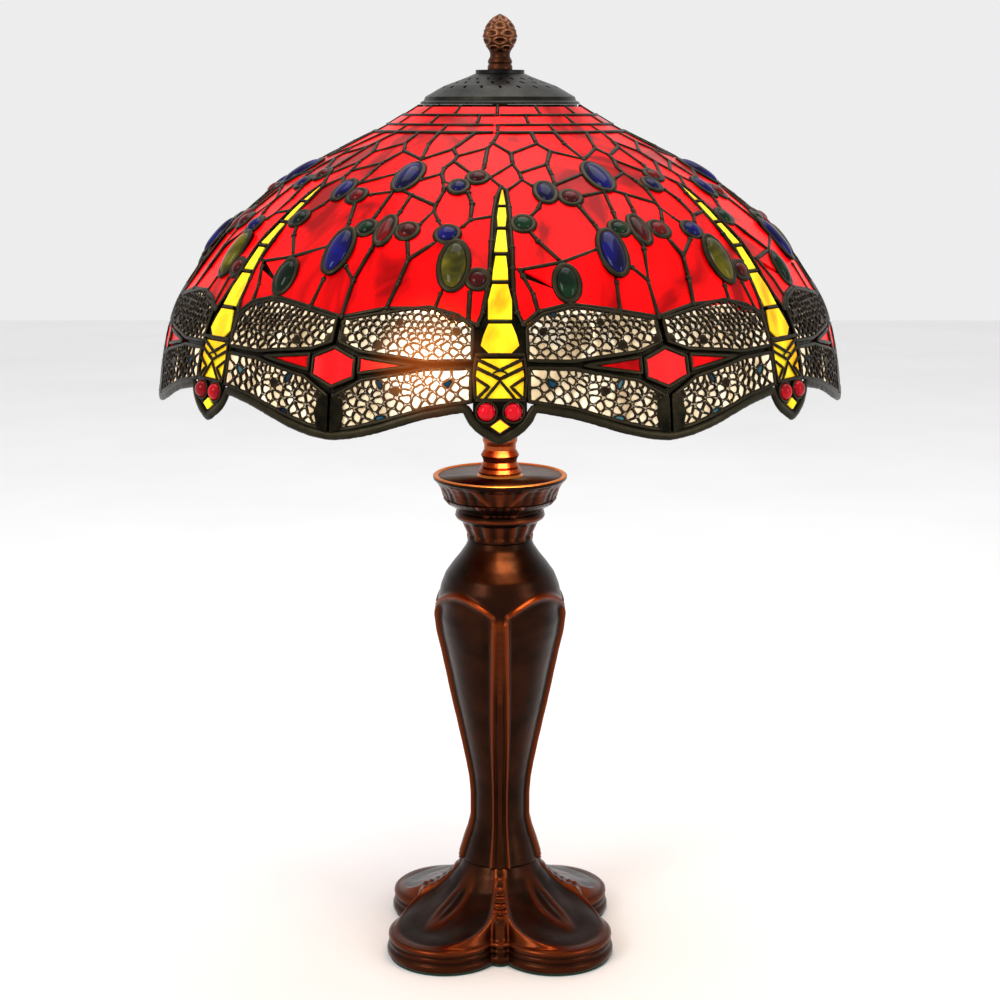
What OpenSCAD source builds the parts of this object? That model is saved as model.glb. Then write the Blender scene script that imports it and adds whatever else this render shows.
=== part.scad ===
// Leaded-glass dragonfly table lamp.
// Millimetres, +Z up, origin at the middle of the underside, front towards -Y.

/* [Shade] */
// Diameter of the shade at its rim
shade_d = 457; // [400:1:520]
// Height of the glass dome from the rim up to the cap
shade_h = 182; // [150:1:230]
// Height of the rim above the table
rim_z = 406; // [396:1:440]
// Thickness of the glass
glass_t = 2.6; // [2:0.1:3.2]
// Width of the came's web between two panes
came_w = 1; // [0.8:0.1:1.4]
// How far the came stands out on each side of the glass
came_lip = 0.5; // [0.2:0.1:1]
// Gap left between a pane and the came's web
pane_gap = 0.5; // [0.4:0.05:0.8]
// Width of the bezel round a jewel
bezel_w = 1.5; // [1:0.1:2]
// Thickness of the brass filigree on the wings
filigree_t = 0.8; // [0.5:0.1:1.2]
// Diameter of the rim wire
rim_wire_d = 3.4; // [2:0.1:5]

/* [Cap and finial] */
// Diameter of the pierced cap
cap_d = 106; // [96:1:112]
// Height of the cap
cap_h = 21; // [16:1:26]
// Thickness of the cap's sheet
cap_t = 1.4; // [1:0.1:2]
// Number of vent slots in one row
cap_slots = 20; // [12:1:24]
// Height of the finial above its washer
finial_h = 36; // [28:1:48]
// Greatest diameter of the finial
finial_d = 23; // [18:1:30]
// Diameter of the finial's threaded stud
stud_d = 6.35; // [5:0.05:8]
// Clearance round the stud in the cap's hole
cap_hole_gap = 1.6; // [1.2:0.1:2.4]

/* [Stem and plate] */
// Diameter of the top plate
plate_d = 93; // [80:1:110]
// Height of the top plate's upper face
plate_z = 338; // [320:1:345]
// Diameter of the turned stem
stem_d = 24; // [20:1:30]
// Outside diameter of the threaded riser tube
riser_d = 9.7; // [8:0.1:13]
// Wall of the riser tube
riser_wall = 1.6; // [1:0.1:2]
// Clearance round the riser in the bores it passes through
riser_gap = 0.4; // [0.2:0.05:0.8]

/* [Column and foot] */
// Greatest diameter of the column's shoulder
shoulder_d = 88; // [76:1:100]
// Diameter of the column at its waist
waist_d = 39; // [32:1:46]
// Height where the column stands on the foot
column_z = 58; // [52:1:62]
// Wall of the hollow castings
cast_wall = 4; // [3:0.1:6]
// Distance from the middle of the foot to the middle of a lobe
lobe_offset = 54; // [46:0.5:60]
// Radius of a lobe at the floor
lobe_r = 41.5; // [36:0.5:48]
// Height of the stepped edge of the foot
edge_h = 15; // [12:0.5:18]
// Thickness of the felt pad
felt_t = 2; // [1:0.1:3]
// Thickness of the cover plate under the foot
cover_t = 1.5; // [1:0.1:2.5]
// Bore of the cord bushing
cord_bore = 7; // [5:0.1:9]

/* [Lights] */
// Height of the lamp axis of the two sockets
socket_z = 440; // [436:1:455]
// Turn of the two-light cluster away from the front
cluster_turn = 30; // [0:1:60]
// Diameter of a socket shell
socket_d = 34; // [32:0.5:38]
// Length of a socket shell
socket_l = 44; // [40:0.5:52]
// Greatest diameter of a bulb
bulb_d = 48; // [40:1:56]
// Length of a bulb's glass beyond its cap
bulb_l = 62; // [52:1:72]
// Diameter of the bulb's screw cap
bulb_cap_d = 26; // [24:0.5:27]
// Length of the bulb's screw cap
bulb_cap_l = 24; // [22:0.5:27]

/* [Hidden] */

// Dragonflies round the shade; the pattern is drawn for this number
flies = 7;
pitch = 360 / flies;
shade_r = shade_d / 2;
cap_r = cap_d / 2;
cap_z = rim_z + shade_h;
cap_top = cap_z + cap_h;
riser_r = riser_d / 2;
stud_r = stud_d / 2;

// ---------------------------------------------------------------- dome

// Outline of the dome: share of the way out from cap to rim, and share of the height.
// The stations are equally spaced along the slope, and the last two run on below the rim.
dome_outline = [
    [-0.13, 1.072], [0, 1], [0.13, 0.926], [0.267, 0.86], [0.402, 0.792], [0.532, 0.717], [0.652, 0.628],
    [0.766, 0.53], [0.855, 0.411], [0.935, 0.286], [0.978, 0.146], [1, 0], [1.015, -0.147], [1.03, -0.29]
];
// Slope length that the glass pattern is drawn for, in its own units
drawn_slope = 268;
station = drawn_slope / 10;

function blend(p, q, r, s, t) =
    0.5 * (2 * q + (r - p) * t + (2 * p - 5 * q + 4 * r - s) * t * t + (3 * q - p - 3 * r + s) * t * t * t);
function share(s) =
    let (u = s / station, i = max(0, min(floor(u), len(dome_outline) - 4)), t = u - i)
    blend(dome_outline[i], dome_outline[i + 1], dome_outline[i + 2], dome_outline[i + 3], t);
function dome_r(s) = cap_r + (shade_r - cap_r) * share(s)[0];
function dome_z(s) = rim_z + shade_h * share(s)[1];
function on_dome(p) = let (r = dome_r(p[1])) [r * sin(p[0]), -r * cos(p[0]), dome_z(p[1])];
function per_degree(s) = dome_r(s) * PI / 180;
function unit(v) = v / norm(v);
function mean(list, i = 0) = i == len(list) ? list[0] * 0 : list[i] / len(list) + mean(list, i + 1);

// Outward normal of the best flat plane through a loop of points on the dome
function loop_normal(pts, i = 0) =
    i == len(pts) ? [0, 0, 0] : cross(pts[i], pts[(i + 1) % len(pts)]) + loop_normal(pts, i + 1);
function outward(n, c) = n * c < 0 ? -n : n;

// ---------------------------------------------------------------- flat panes

// A flat pane cut to a loop of pattern points, standing from low to high above the loop's own plane
module pane(loop, low, high, gap) {
    pts = [for (p = loop) on_dome(p)];
    c = mean(pts);
    n = outward(unit(loop_normal([for (p = pts) p - c])), [c[0], c[1], 60]);
    u = unit(cross([0, 0, 1], n));
    v = cross(n, u);
    flat = [for (p = pts) [(p - c) * u, (p - c) * v]];
    multmatrix([
        [u[0], v[0], n[0], c[0] + n[0] * low],
        [u[1], v[1], n[1], c[1] + n[1] * low],
        [u[2], v[2], n[2], c[2] + n[2] * low]
    ])
        linear_extrude(high - low)
            offset(delta = -gap)
                polygon(flat);
}

module all_round() {
    for (k = [0:flies - 1])
        rotate([0, 0, k * pitch])
            children();
}

// ---------------------------------------------------------------- pattern of one repeat

// Jewels: angle from the dragonfly, slope position, half width, half length, kind
jewels = [
    [26.65, 91.5, 7, 14.5, "blue"],
    [-5.8, 91.8, 5, 5, "red"],
    [-10.1, 101.8, 4.6, 5.4, "blue"],
    [10.7, 107.5, 5.2, 8.8, "blue"],
    [16.2, 113, 5.2, 5.2, "red"],
    [4.6, 135.8, 5.4, 5.4, "green"],
    [-10.1, 145, 5.8, 5.8, "blue"],
    [20.7, 160, 7, 15.5, "blue"],
    [24.1, 141.2, 5, 5, "green"],
    [28.5, 142.5, 4.4, 11, "red"],
    [33.1, 142.8, 5.5, 5.5, "red"],
    [-8, 168.5, 7.4, 15.5, "amber"],
    [-3.7, 177.5, 5, 5, "red"],
    [11.2, 180.3, 6.2, 10.5, "green"]
];
// Names of the jewels in the loops below
BIG = 0;
RED_TOP = 1;
BLUE_TOP = 2;
DROP = 3;
RED_DROP = 4;
GREEN = 5;
BLUE = 6;
LONG = 7;
GREEN_ROW = 8;
BROWN_ROW = 9;
RED_ROW = 10;
AMBER = 11;
RED_TAIL = 12;
DARK = 13;

// Corners of the field panes, [angle, slope position]
a1 = [-11, 36.5];
a2 = [-0.8, 36.5];
a3 = [13.5, 36.5];
a4 = [24.2, 36.5];
b1 = [-2.7, 49.5];
b2 = [-4.3, 56];
b3 = [3.6, 63];
b4 = [13.6, 50.5];
b5 = [17, 60.5];
b6 = [24.4, 51];
b7 = [26.6, 71];
b8 = [-16.2, 57.5];
b9 = [-13.6, 66.5];
c1 = [-14, 72.5];
c2 = [-4.5, 80];
c3 = [3.7, 76];
c4 = [5.3, 86.5];
c5 = [5.6, 94.5];
c6 = [-2.6, 92];
c7 = [13.7, 76.5];
c8 = [13.8, 88];
c9 = [13.6, 100];
d1 = [-15.8, 81];
d2 = [-15.8, 88];
d3 = [-14.2, 97];
d4 = [-13.4, 106.5];
d5 = [-14.2, 120];
d6 = [-20.9, 110.5];
d7 = [-20.6, 94.6];
d8 = [22.6, 88.2];
d9 = [20, 111];
e1 = [-7.5, 107.5];
e2 = [-6.1, 118];
e3 = [-6, 132.5];
e4 = [-7.3, 138];
e5 = [-12.6, 133.5];
e6 = [-14.1, 125.5];
e7 = [8.3, 122];
e8 = [17.5, 121.5];
e9 = [19.3, 138];
f1 = [24.7, 127];
f2 = [-21.6, 126];
f3 = [-16.2, 137];
f4 = [-12.3, 152.5];
f5 = [-16.3, 164.3];
f6 = [7.1, 150];
f7 = [10.8, 166.3];
f8 = [17.8, 157.6];
f9 = [27.3, 158.3];
g1 = [25.8, 180];
g2 = [23.5, 171];
g3 = [3.4, 171.2];
g4 = [8.7, 182.5];
g5 = [3.9, 175.5];
g6 = [5.4, 187];
g7 = [-17.2, 180];
g8 = [-4.9, 186];
g9 = [-9.7, 187];
h1 = [19.9, 180.5];
h2 = [25.3, 107.8];
h3 = [28.4, 107.2];
// Upper edge of the wings
w1 = [3.6, 206.5];
w2 = [6, 198.5];
w3 = [11.2, 193.8];
w4 = [19.3, 198.8];
w5 = [25.71, 204];
w6 = [-3.5, 207];
w7 = [-4.9, 204.5];
w8 = [-7.8, 202.5];
w9 = [-10.3, 196.5];
w10 = [-18.3, 197.2];
// Left and right edge of the lane that holds the tail
l1 = [0.3, 101.5];
l2 = [-0.9, 112];
l3 = [-1.5, 129.5];
l4 = [-1.6, 150];
l5 = [-1.8, 171.5];
l6 = [-2.1, 184];
l7 = [-2.7, 199];
r1 = [1.6, 105.5];
r2 = [2, 121];
r3 = [2.05, 137];
r4 = [2.2, 155];
r5 = [2.2, 170];
r6 = [2.2, 184];
r7 = [2.7, 199];

// The same corner one repeat further round
function next(p) = [p[0] + pitch, p[1]];

// Loops of the field panes; a number stands for a jewel that the pane is cut round
field_loops = [
    [a1, a2, b1, b2, b9, b8],
    [a2, a3, b4, b3, b1],
    [a3, a4, b6, b7, b5, b4],
    [a4, next(a1), next(b8), b7, b6],
    [b1, b3, c3, c6, RED_TOP, c2, b2],
    [b3, b4, b5, c7, c4, c3],
    [b2, c2, RED_TOP, c1, b9],
    [b5, b7, BIG, d8, c9, c8, c7],
    [b7, next(b8), next(b9), next(c1), next(d1), next(d2), next(d7), BIG],
    [c1, RED_TOP, BLUE_TOP, d3, d2, d1],
    [c3, c4, c5, r1, l1, c6],
    [c4, c7, c8, c9, DROP, c5],
    [c9, d8, BIG, h2, d9, RED_DROP, DROP],
    [next(d2), next(d3), next(d4), next(d5), next(d6), h3, BIG, next(d7)],
    [c6, l1, l2, l3, e3, e2, e1, BLUE_TOP, RED_TOP],
    [d3, BLUE_TOP, e1, e2, e3, e4, BLUE, e5, e6, d5, d4],
    [c5, DROP, e7, GREEN, r3, r2, r1],
    [DROP, RED_DROP, e8, e9, LONG, f8, f7, f6, GREEN, e7],
    [d9, h2, f1, GREEN_ROW, LONG, e9, e8, RED_DROP],
    [h2, BIG, h3, next(d6), next(f2), BROWN_ROW, GREEN_ROW, f1],
    [next(d6), next(d5), next(e6), next(f3), RED_ROW, BROWN_ROW, next(f2)],
    [next(e6), next(e5), BLUE + 100, next(f4), next(f5), RED_ROW, next(f3)],
    [l3, l4, l5, RED_TAIL, AMBER, BLUE, e4, e3],
    [GREEN, f6, f7, g3, r5, r4, r3],
    [f4, BLUE, AMBER, g9, w9, w10, g7, f5],
    [RED_ROW, next(f5), next(g7), next(w10), w5, g1, f9, BROWN_ROW],
    [GREEN_ROW, BROWN_ROW, f9, g1, g2, LONG],
    [LONG, g2, g1, w5, w4, h1],
    [f7, f8, LONG, h1, w4, w3, DARK],
    [g3, f7, DARK, g4],
    [g5, g4, DARK, w3, w2, g6],
    [r5, g3, g5, g6, w2, w1, r7, r6],
    [AMBER, RED_TAIL, g8, w7, w8, w9, g9],
    [RED_TAIL, l6, l7, w6, w7, g8]
];

function jewel_of(k) =
    k >= 100 ? concat([jewels[k - 100][0] + pitch], [for (i = [1:4]) jewels[k - 100][i]]) : jewels[k];
function spot(e) = is_num(e) ? let (j = jewel_of(e)) [j[0], j[1]] : e;
function heading(j, p) =
    let (x = (p[0] - j[0]) * per_degree(j[1]) / j[2], y = (p[1] - j[1]) / j[3]) atan2(y, x);
arc_step = 24;
// Points round a jewel's bezel, from the side facing "from" to the side facing "to", inside the pane
function round_jewel(j, from, to) =
    let (
        a = heading(j, from),
        b = heading(j, to),
        turn = (a - b + 720) % 360,
        n = max(2, ceil(turn / arc_step))
    )
    [for (i = [0:n]) let (t = a - turn * i / n)
        [j[0] + (j[2] + bezel_w) * cos(t) / per_degree(j[1]), j[1] + (j[3] + bezel_w) * sin(t)]];
// Loops run clockwise as seen from outside
function cut_loop(loop) =
    let (n = len(loop)) [
        for (i = [0:n - 1])
            each is_num(loop[i])
                ? round_jewel(jewel_of(loop[i]), spot(loop[(i + n - 1) % n]), spot(loop[(i + 1) % n]))
                : [loop[i]]
    ];

pane_inset = came_w / 2 + pane_gap;

module field_glass() {
    color([0.9, 0.06, 0.06])
        all_round()
            for (loop = field_loops)
                pane(cut_loop(loop), -glass_t, 0, pane_inset);
}

// ---------------------------------------------------------------- cames of the field

edges = [for (loop = field_loops) for (i = [0:len(loop) - 1]) [loop[i], loop[(i + 1) % len(loop)]]];
function tag(e) = let (p = spot(e)) round(p[1] * 10) * 1000 + round(((p[0] + 2 * pitch) % pitch) * 10);
tags = [for (e = edges) [tag(e[0]), tag(e[1])]];
function paired(k) = len([for (t = tags) if (t[0] == tags[k][1] && t[1] == tags[k][0]) 1]) > 0;
// Each side that two panes share is listed once, and so is each side on the border of the field
came_edges = [
    for (k = [0:len(edges) - 1])
        if (spot(edges[k][0])[1] + spot(edges[k][1])[1] > 2 * a1[1] + 1)
            if (tags[k][0] < tags[k][1] || !paired(k)) edges[k]
];
// Cames stop short of the joints, where the solder runs together
came_trim = 1.8;

function came_end(e, other) =
    is_num(e)
        ? let (j = jewel_of(e), t = heading(j, spot(other)))
            [j[0] + (j[2] + bezel_w) * cos(t) / per_degree(j[1]), j[1] + (j[3] + bezel_w) * sin(t)]
        : e;
function dome_normal(p) =
    unit(cross(on_dome(p + [0.5, 0]) - on_dome(p - [0.5, 0]), on_dome(p - [0, 1]) - on_dome(p + [0, 1])));

// A straight came between two pattern points
module came(from, to) {
    p = on_dome(from);
    q = on_dome(to);
    run = norm(q - p) - 2 * came_trim;
    if (run > 1) {
        x = unit(q - p);
        y = unit(cross(dome_normal((from + to) / 2), x));
        z = cross(x, y);
        o = p + x * came_trim - y * came_w / 2 - z * (glass_t + came_lip);
        multmatrix([
            [x[0], y[0], z[0], o[0]],
            [x[1], y[1], z[1], o[1]],
            [x[2], y[2], z[2], o[2]]
        ])
            cube([run, came_w, glass_t + 2 * came_lip]);
    }
}

module field_cames() {
    color([0.25, 0.24, 0.18])
        all_round()
            for (e = came_edges)
                came(came_end(e[0], e[1]), came_end(e[1], e[0]));
}

// ---------------------------------------------------------------- crown

// Slope positions of the seams between the three courses, and the turn of each course
crown_seams = [2.2, 13.5, 25.6, 35.4];
crown_turns = [-1.6, -11.4, -1];
crown_panes = 2 * flies;

// Section of a strip of the dome between two slope positions
function strip(s0, s1, low, high) =
    let (
        p = [dome_r(s0), dome_z(s0)],
        q = [dome_r(s1), dome_z(s1)],
        d = unit(q - p),
        n = [-d[1], d[0]]
    ) [p + n * low, q + n * low, q + n * high, p + n * high];

module course(k) {
    s0 = crown_seams[k] + pane_inset;
    s1 = crown_seams[k + 1] - pane_inset;
    mid = dome_r((s0 + s1) / 2);
    slack = (pane_inset + 0.2) / mid * 180 / PI;
    for (i = [0:crown_panes - 1])
        rotate([0, 0, crown_turns[k] - 90 + i * 360 / crown_panes + slack])
            rotate_extrude(angle = 360 / crown_panes - 2 * slack, $fn = 96)
                polygon(strip(s0, s1, -glass_t, 0));
}

module crown_glass() {
    color([0.85, 0.1, 0.1])
        for (k = [0:2])
            course(k);
}

module crown_cames() {
    color([0.25, 0.24, 0.18]) {
        for (s = [crown_seams[1], crown_seams[2], crown_seams[3]])
            rotate_extrude($fn = 96)
                polygon(strip(s - came_w / 2, s + came_w / 2, -glass_t - came_lip, came_lip));
        for (k = [0:2], i = [0:crown_panes - 1])
            let (a = crown_turns[k] + i * 360 / crown_panes)
                came([a, crown_seams[k]], [a, crown_seams[k + 1]]);
    }
}

// ---------------------------------------------------------------- dragonflies

// Tail segments: slope position and half width of the corners down the right side
tail_segments = [
    [[104.5, 0.3], [112, 1.2], [118.5, 2]],
    [[121.5, 2.1], [129, 2.7], [137.5, 2.2]],
    [[141, 2.3], [150, 3.1], [158, 3.8]],
    [[161.5, 3], [171, 4.2], [177.5, 4.5]],
    [[180.5, 4.4], [191, 6.8], [203, 6.8]],
    [[206, 6.6], [213, 9.4], [219, 10.9], [224, 6]]
];
tail_lean = 0.55;
function lean(s) = tail_lean * max(0, 180 - s) / 75;
function both_sides(side) =
    concat(
        [for (p = side) [lean(p[0]) + p[1] / per_degree(p[0]), p[0]]],
        [for (i = [len(side) - 1:-1:0]) let (p = side[i]) [lean(p[0]) - p[1] / per_degree(p[0]), p[0]]]
    );
function mirrored(loop) = [for (i = [len(loop) - 1:-1:0]) [-loop[i][0], loop[i][1]]];

module tail_glass() {
    color([0.98, 0.85, 0.1])
        all_round()
            for (side = tail_segments)
                pane(both_sides(side), -glass_t, 0, 0);
}

thorax = [[-3.1, 227], [3.1, 227], [3.5, 236], [3.3, 249.5], [-3.3, 249.5], [-3.5, 236]];

module thorax_glass() {
    color([0.98, 0.8, 0.2])
        all_round()
            pane(thorax, -glass_t, 0, 0);
}

module filigree_thorax() {
    color([0.25, 0.2, 0.1])
        all_round()
            pane(thorax, 0.2, 0.2 + filigree_t, -0.3);
}

// Wings, each in an inner and an outer piece; the field's border is lower on the left of the upper pair
wing_split = 14.5;
upper_wings = [
    [
        [4.1, 208.5], [6.5, 200.5], [11.3, 195.8], [wing_split, 197.4], [wing_split, 227.2], [11, 229],
        [4.1, 228]
    ],
    [[wing_split, 197.4], [19.3, 200.8], [25, 205.3], [25, 219.5], [21.5, 224.5], [wing_split, 227.2]],
    [
        [-4.1, 228], [-11, 229], [-wing_split, 227.2], [-wing_split, 198.9], [-10.9, 198.5], [-8.3, 204.6],
        [-5.2, 206.7], [-4.1, 208.9]
    ],
    [[-wing_split, 227.2], [-21.5, 224.5], [-25, 219.5], [-25, 205.3], [-18.6, 199.4], [-wing_split, 198.9]]
];
lower_inner = [
    [4.2, 232.2], [11, 233.2], [wing_split, 236.3], [wing_split, 260.4], [10.5, 255.5], [4.2, 251.4]
];
lower_outer = [
    [wing_split, 236.3], [20.7, 240.9], [25, 251], [25, 270.8], [22, 268.8], [18, 264.6], [wing_split, 260.4]
];
lower_wings = [lower_inner, lower_outer, mirrored(lower_inner), mirrored(lower_outer)];

module wings(pieces, low, high, gap) {
    all_round()
        for (loop = pieces)
            pane(loop, low, high, gap);
}

module wing_glass_upper() {
    color([0.9, 0.86, 0.78])
        wings(upper_wings, -glass_t, 0, pane_gap);
}

module wing_glass_lower() {
    color([0.92, 0.88, 0.8])
        wings(lower_wings, -glass_t, 0, pane_gap);
}

module filigree_upper() {
    color([0.2, 0.17, 0.12])
        wings(upper_wings, 0.2, 0.2 + filigree_t, pane_gap - 0.2);
}

module filigree_lower() {
    color([0.2, 0.17, 0.12])
        wings(lower_wings, 0.2, 0.2 + filigree_t, pane_gap - 0.2);
}

module triangles() {
    tip = [[12.6, 231.6], [21.4, 227.8], [21.4, 237.2]];
    color([0.9, 0.06, 0.06])
        all_round() {
            pane(tip, -glass_t, 0, 0.4);
            pane(mirrored(tip), -glass_t, 0, 0.4);
        }
}

module hexagons() {
    half = [[-3.55, 228.8], [0, 222.8], [3.55, 228.8], [3.55, 240], [0, 246], [-3.55, 240]];
    color([0.92, 0.1, 0.1])
        all_round()
            pane([for (p = half) p + [pitch / 2, 0]], -glass_t, 0, 0.3);
}

// ---------------------------------------------------------------- heads

eye_r = 5.4;
eye_at = [1.95, 257.2];
eye_gap = 0.4;
head = [[-3.9, 251.2], [3.9, 251.2], [3.9, 258.5], [2.6, 265], [0, 271.2], [-2.6, 265], [-3.9, 258.5]];
diamond = [[0, 261.6], [1.35, 265.4], [0, 269], [-1.35, 265.4]];

// Puts its children on the dome at a pattern point, with +Z outwards and +Y up the slope
module at_dome(p) {
    o = on_dome(p);
    n = dome_normal(p);
    u = unit(cross([0, 0, 1], n));
    v = cross(n, u);
    multmatrix([
        [u[0], v[0], n[0], o[0]],
        [u[1], v[1], n[1], o[1]],
        [u[2], v[2], n[2], o[2]]
    ])
        children();
}

module head_plates() {
    color([0.2, 0.17, 0.12])
        all_round()
            difference() {
                pane(head, -1.4, 0.4, 0);
                pane(diamond, -3, 3, -0.3);
                for (side = [-1, 1])
                    at_dome([side * eye_at[0], eye_at[1]])
                        translate([0, 0, -8])
                            cylinder(r = eye_r + eye_gap, h = 16, $fn = 40);
            }
}

module eyes() {
    color([0.85, 0.05, 0.08])
        all_round()
            for (side = [-1, 1])
                at_dome([side * eye_at[0], eye_at[1]])
                    sphere(r = eye_r, $fn = 40);
}

module head_diamonds() {
    color([0.98, 0.75, 0.1])
        all_round()
            pane(diamond, -1.6, 0.8, 0.2);
}

// ---------------------------------------------------------------- jewels

// How far a jewel is let into the glass and stands out of it
jewel_depth = 1.8;
jewel_rise = 0.6;
jewel_sides = 28;

// A cabochon: an oval or round wall under a domed top
module cabochon(half_w, half_l) {
    rise = half_w * jewel_rise;
    drop = rise * 0.8;
    dome = (half_l * half_l + drop * drop) / (2 * drop);
    intersection() {
        translate([0, 0, -jewel_depth])
            linear_extrude(jewel_depth + rise + 1)
                if (half_w == half_l)
                    circle(r = half_w, $fn = 48);
                else
                    polygon([
                        for (i = [0:jewel_sides - 1])
                            let (t = 360 * i / jewel_sides) [half_w * cos(t), half_l * sin(t)]
                    ]);
        translate([0, 0, rise - dome])
            sphere(r = dome, $fn = 64);
    }
}

module jewels_of(kind) {
    all_round()
        for (j = jewels)
            if (j[4] == kind)
                at_dome([j[0], j[1]])
                    cabochon(j[2], j[3]);
}

module jewels_blue() {
    color([0.05, 0.03, 0.5])
        jewels_of("blue");
}

module jewels_green() {
    color([0.05, 0.25, 0.1])
        jewels_of("green");
}

module jewels_amber() {
    color([0.5, 0.45, 0.1])
        jewels_of("amber");
}

module jewels_red() {
    color([0.6, 0.08, 0.03])
        jewels_of("red");
}

// ---------------------------------------------------------------- rim wire

rim_half = [
    [0, 273.8], [3.1, 266.4], [4.5, 259.5], [4.7, 254.6], [7.3, 256.4], [10.7, 259], [14.5, 263.6],
    [18.2, 268.6], [22, 272.4], [25.71, 274.4]
];
rim_loop = concat(rim_half, [for (i = [len(rim_half) - 2:-1:1]) [pitch - rim_half[i][0], rim_half[i][1]]]);
wire_sides = 8;

module rim_wire() {
    path = [for (k = [0:flies - 1]) for (p = rim_loop) p + [k * pitch, 0]];
    n = len(path);
    rings = [
        for (i = [0:n - 1])
            let (
                o = on_dome(path[i]),
                x = unit(on_dome(path[(i + 1) % n]) - on_dome(path[(i + n - 1) % n])),
                y = dome_normal(path[i]),
                z = cross(x, y)
            )
                for (j = [0:wire_sides - 1])
                    let (t = 360 * j / wire_sides)
                        o + (y * cos(t) + z * sin(t)) * rim_wire_d / 2
    ];
    sides = [
        for (i = [0:n - 1], j = [0:wire_sides - 1])
            let (i2 = (i + 1) % n, j2 = (j + 1) % wire_sides)
                each [
                    [i * wire_sides + j, i2 * wire_sides + j, i2 * wire_sides + j2],
                    [i * wire_sides + j, i2 * wire_sides + j2, i * wire_sides + j2]
                ]
    ];
    color([0.3, 0.27, 0.2])
        polyhedron(rings, sides);
}

// ---------------------------------------------------------------- cap and finial

// Outline of the cap, as shares of its radius and height
cap_outline = [
    [1, 0], [1, 0.06], [0.955, 0.12], [0.94, 0.23], [0.85, 0.36], [0.775, 0.47], [0.7, 0.57], [0.58, 0.68],
    [0.47, 0.78], [0.39, 0.86], [0.31, 0.95]
];
cap_roof = 0.95 * cap_h;
cap_hole_r = stud_r + cap_hole_gap;
slot_rows = [[0.44, 0.5], [0.56, 0.63], [0.7, 0.76]];

module cap() {
    outer = [for (p = cap_outline) [p[0] * cap_r, p[1] * cap_h]];
    inner = [for (i = [len(cap_outline) - 1:-1:2]) outer[i] - [cap_t * 0.7, cap_t]];
    roof = [[cap_hole_r, cap_roof], [cap_hole_r, cap_roof - cap_t]];
    color([0.16, 0.15, 0.13])
        translate([0, 0, cap_z])
            difference() {
                rotate_extrude($fn = 120)
                    polygon(concat([[cap_r - 5, 0]], outer, roof, inner));
                for (row = [0:2], k = [0:cap_slots - 1])
                    let (from = cap_r * slot_rows[row][0], to = cap_r * slot_rows[row][1])
                        rotate([0, 0, (k + row / 2) * 360 / cap_slots])
                            translate([(from + to) / 2, 0, cap_h / 2])
                                rotate([0, 0, 30])
                                    cube([to - from, 1.8, cap_h * 1.2], center = true);
            }
}

module cap_ring() {
    color([0.4, 0.3, 0.15])
        translate([0, 0, cap_z - 4.5])
            difference() {
                cylinder(r = cap_r - 1.6, h = 4.4, $fn = 120);
                translate([0, 0, -1])
                    cylinder(r = cap_r - 4.6, h = 7, $fn = 120);
            }
}

finial_z = cap_z + cap_roof + 2.4;
finial_bore = 16;
// Outline of the finial, as shares of its greatest radius and its height
finial_outline = [
    [0.72, 0], [0.72, 0.07], [0.64, 0.1], [0.72, 0.14], [0.66, 0.19], [0.57, 0.24], [0.58, 0.31], [0.7, 0.38],
    [0.82, 0.46], [0.92, 0.54], [1, 0.62], [0.9, 0.7], [0.78, 0.78], [0.62, 0.86], [0.36, 0.94], [0.12, 1],
    [0, 1]
];

module finial() {
    side = [for (p = finial_outline) [p[0] * finial_d / 2, p[1] * finial_h]];
    color([0.35, 0.2, 0.1])
        translate([0, 0, finial_z])
            difference() {
                rotate_extrude($fn = 64)
                    polygon(concat([[0, 0]], side));
                translate([0, 0, -1])
                    cylinder(r = stud_r + 0.05, h = finial_bore + 1, $fn = 48);
            }
}

module finial_washer() {
    color([0.1, 0.1, 0.1])
        translate([0, 0, cap_z + cap_roof + 0.1])
            difference() {
                cylinder(r = 16.2, h = 2.2, $fn = 64);
                translate([0, 0, -1])
                    cylinder(r = stud_r + 0.05, h = 5, $fn = 48);
            }
}

// ---------------------------------------------------------------- rod through the lamp

seat_top = cap_z + cap_roof - cap_t - 0.1;
seat_t = 2.6;
riser_top = seat_top - seat_t - 0.1 - 4;
riser_bottom = felt_t + 2.5;
bore_r = riser_r + riser_gap;
nut_r = 9.5;
nut_t = 4;
seat_nut_r = stud_r + 3.2;

module riser() {
    color([0.7, 0.6, 0.3])
        translate([0, 0, riser_bottom])
            difference() {
                cylinder(r = riser_r, h = riser_top - riser_bottom, $fn = 48);
                translate([0, 0, -1])
                    cylinder(r = riser_r - riser_wall, h = riser_top, $fn = 48);
            }
}

// The stud is screwed into the top of the riser and carries the seat, the cap and the finial
module stud() {
    color([0.7, 0.6, 0.3])
        translate([0, 0, riser_top - 14])
            cylinder(r = stud_r, h = finial_z + finial_bore - 1 - riser_top + 14, $fn = 48);
}

module hex_nut(z, bore, outer) {
    translate([0, 0, z])
        difference() {
            cylinder(r = outer, h = nut_t, $fn = 6);
            translate([0, 0, -1])
                cylinder(r = bore, h = nut_t + 2, $fn = 48);
        }
}

module seat_nut() {
    color([0.7, 0.6, 0.3])
        hex_nut(seat_top - seat_t - 0.1 - nut_t, stud_r + 0.02, seat_nut_r);
}

module shade_seat() {
    color([0.7, 0.6, 0.3])
        translate([0, 0, seat_top - seat_t])
            difference() {
                cylinder(r = 14, h = seat_t, $fn = 64);
                translate([0, 0, -1])
                    cylinder(r = stud_r + 0.05, h = seat_t + 2, $fn = 48);
            }
}

// ---------------------------------------------------------------- lights

cluster_r = 15;
cluster_h = 24;
neck_r = 7;
socket_start = 24;
socket_r = socket_d / 2;
shell_t = 1.2;
liner_gap = 0.2;
liner_t = 1.4;
bulb_start = socket_start + socket_l - bulb_cap_l - 8;

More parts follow.
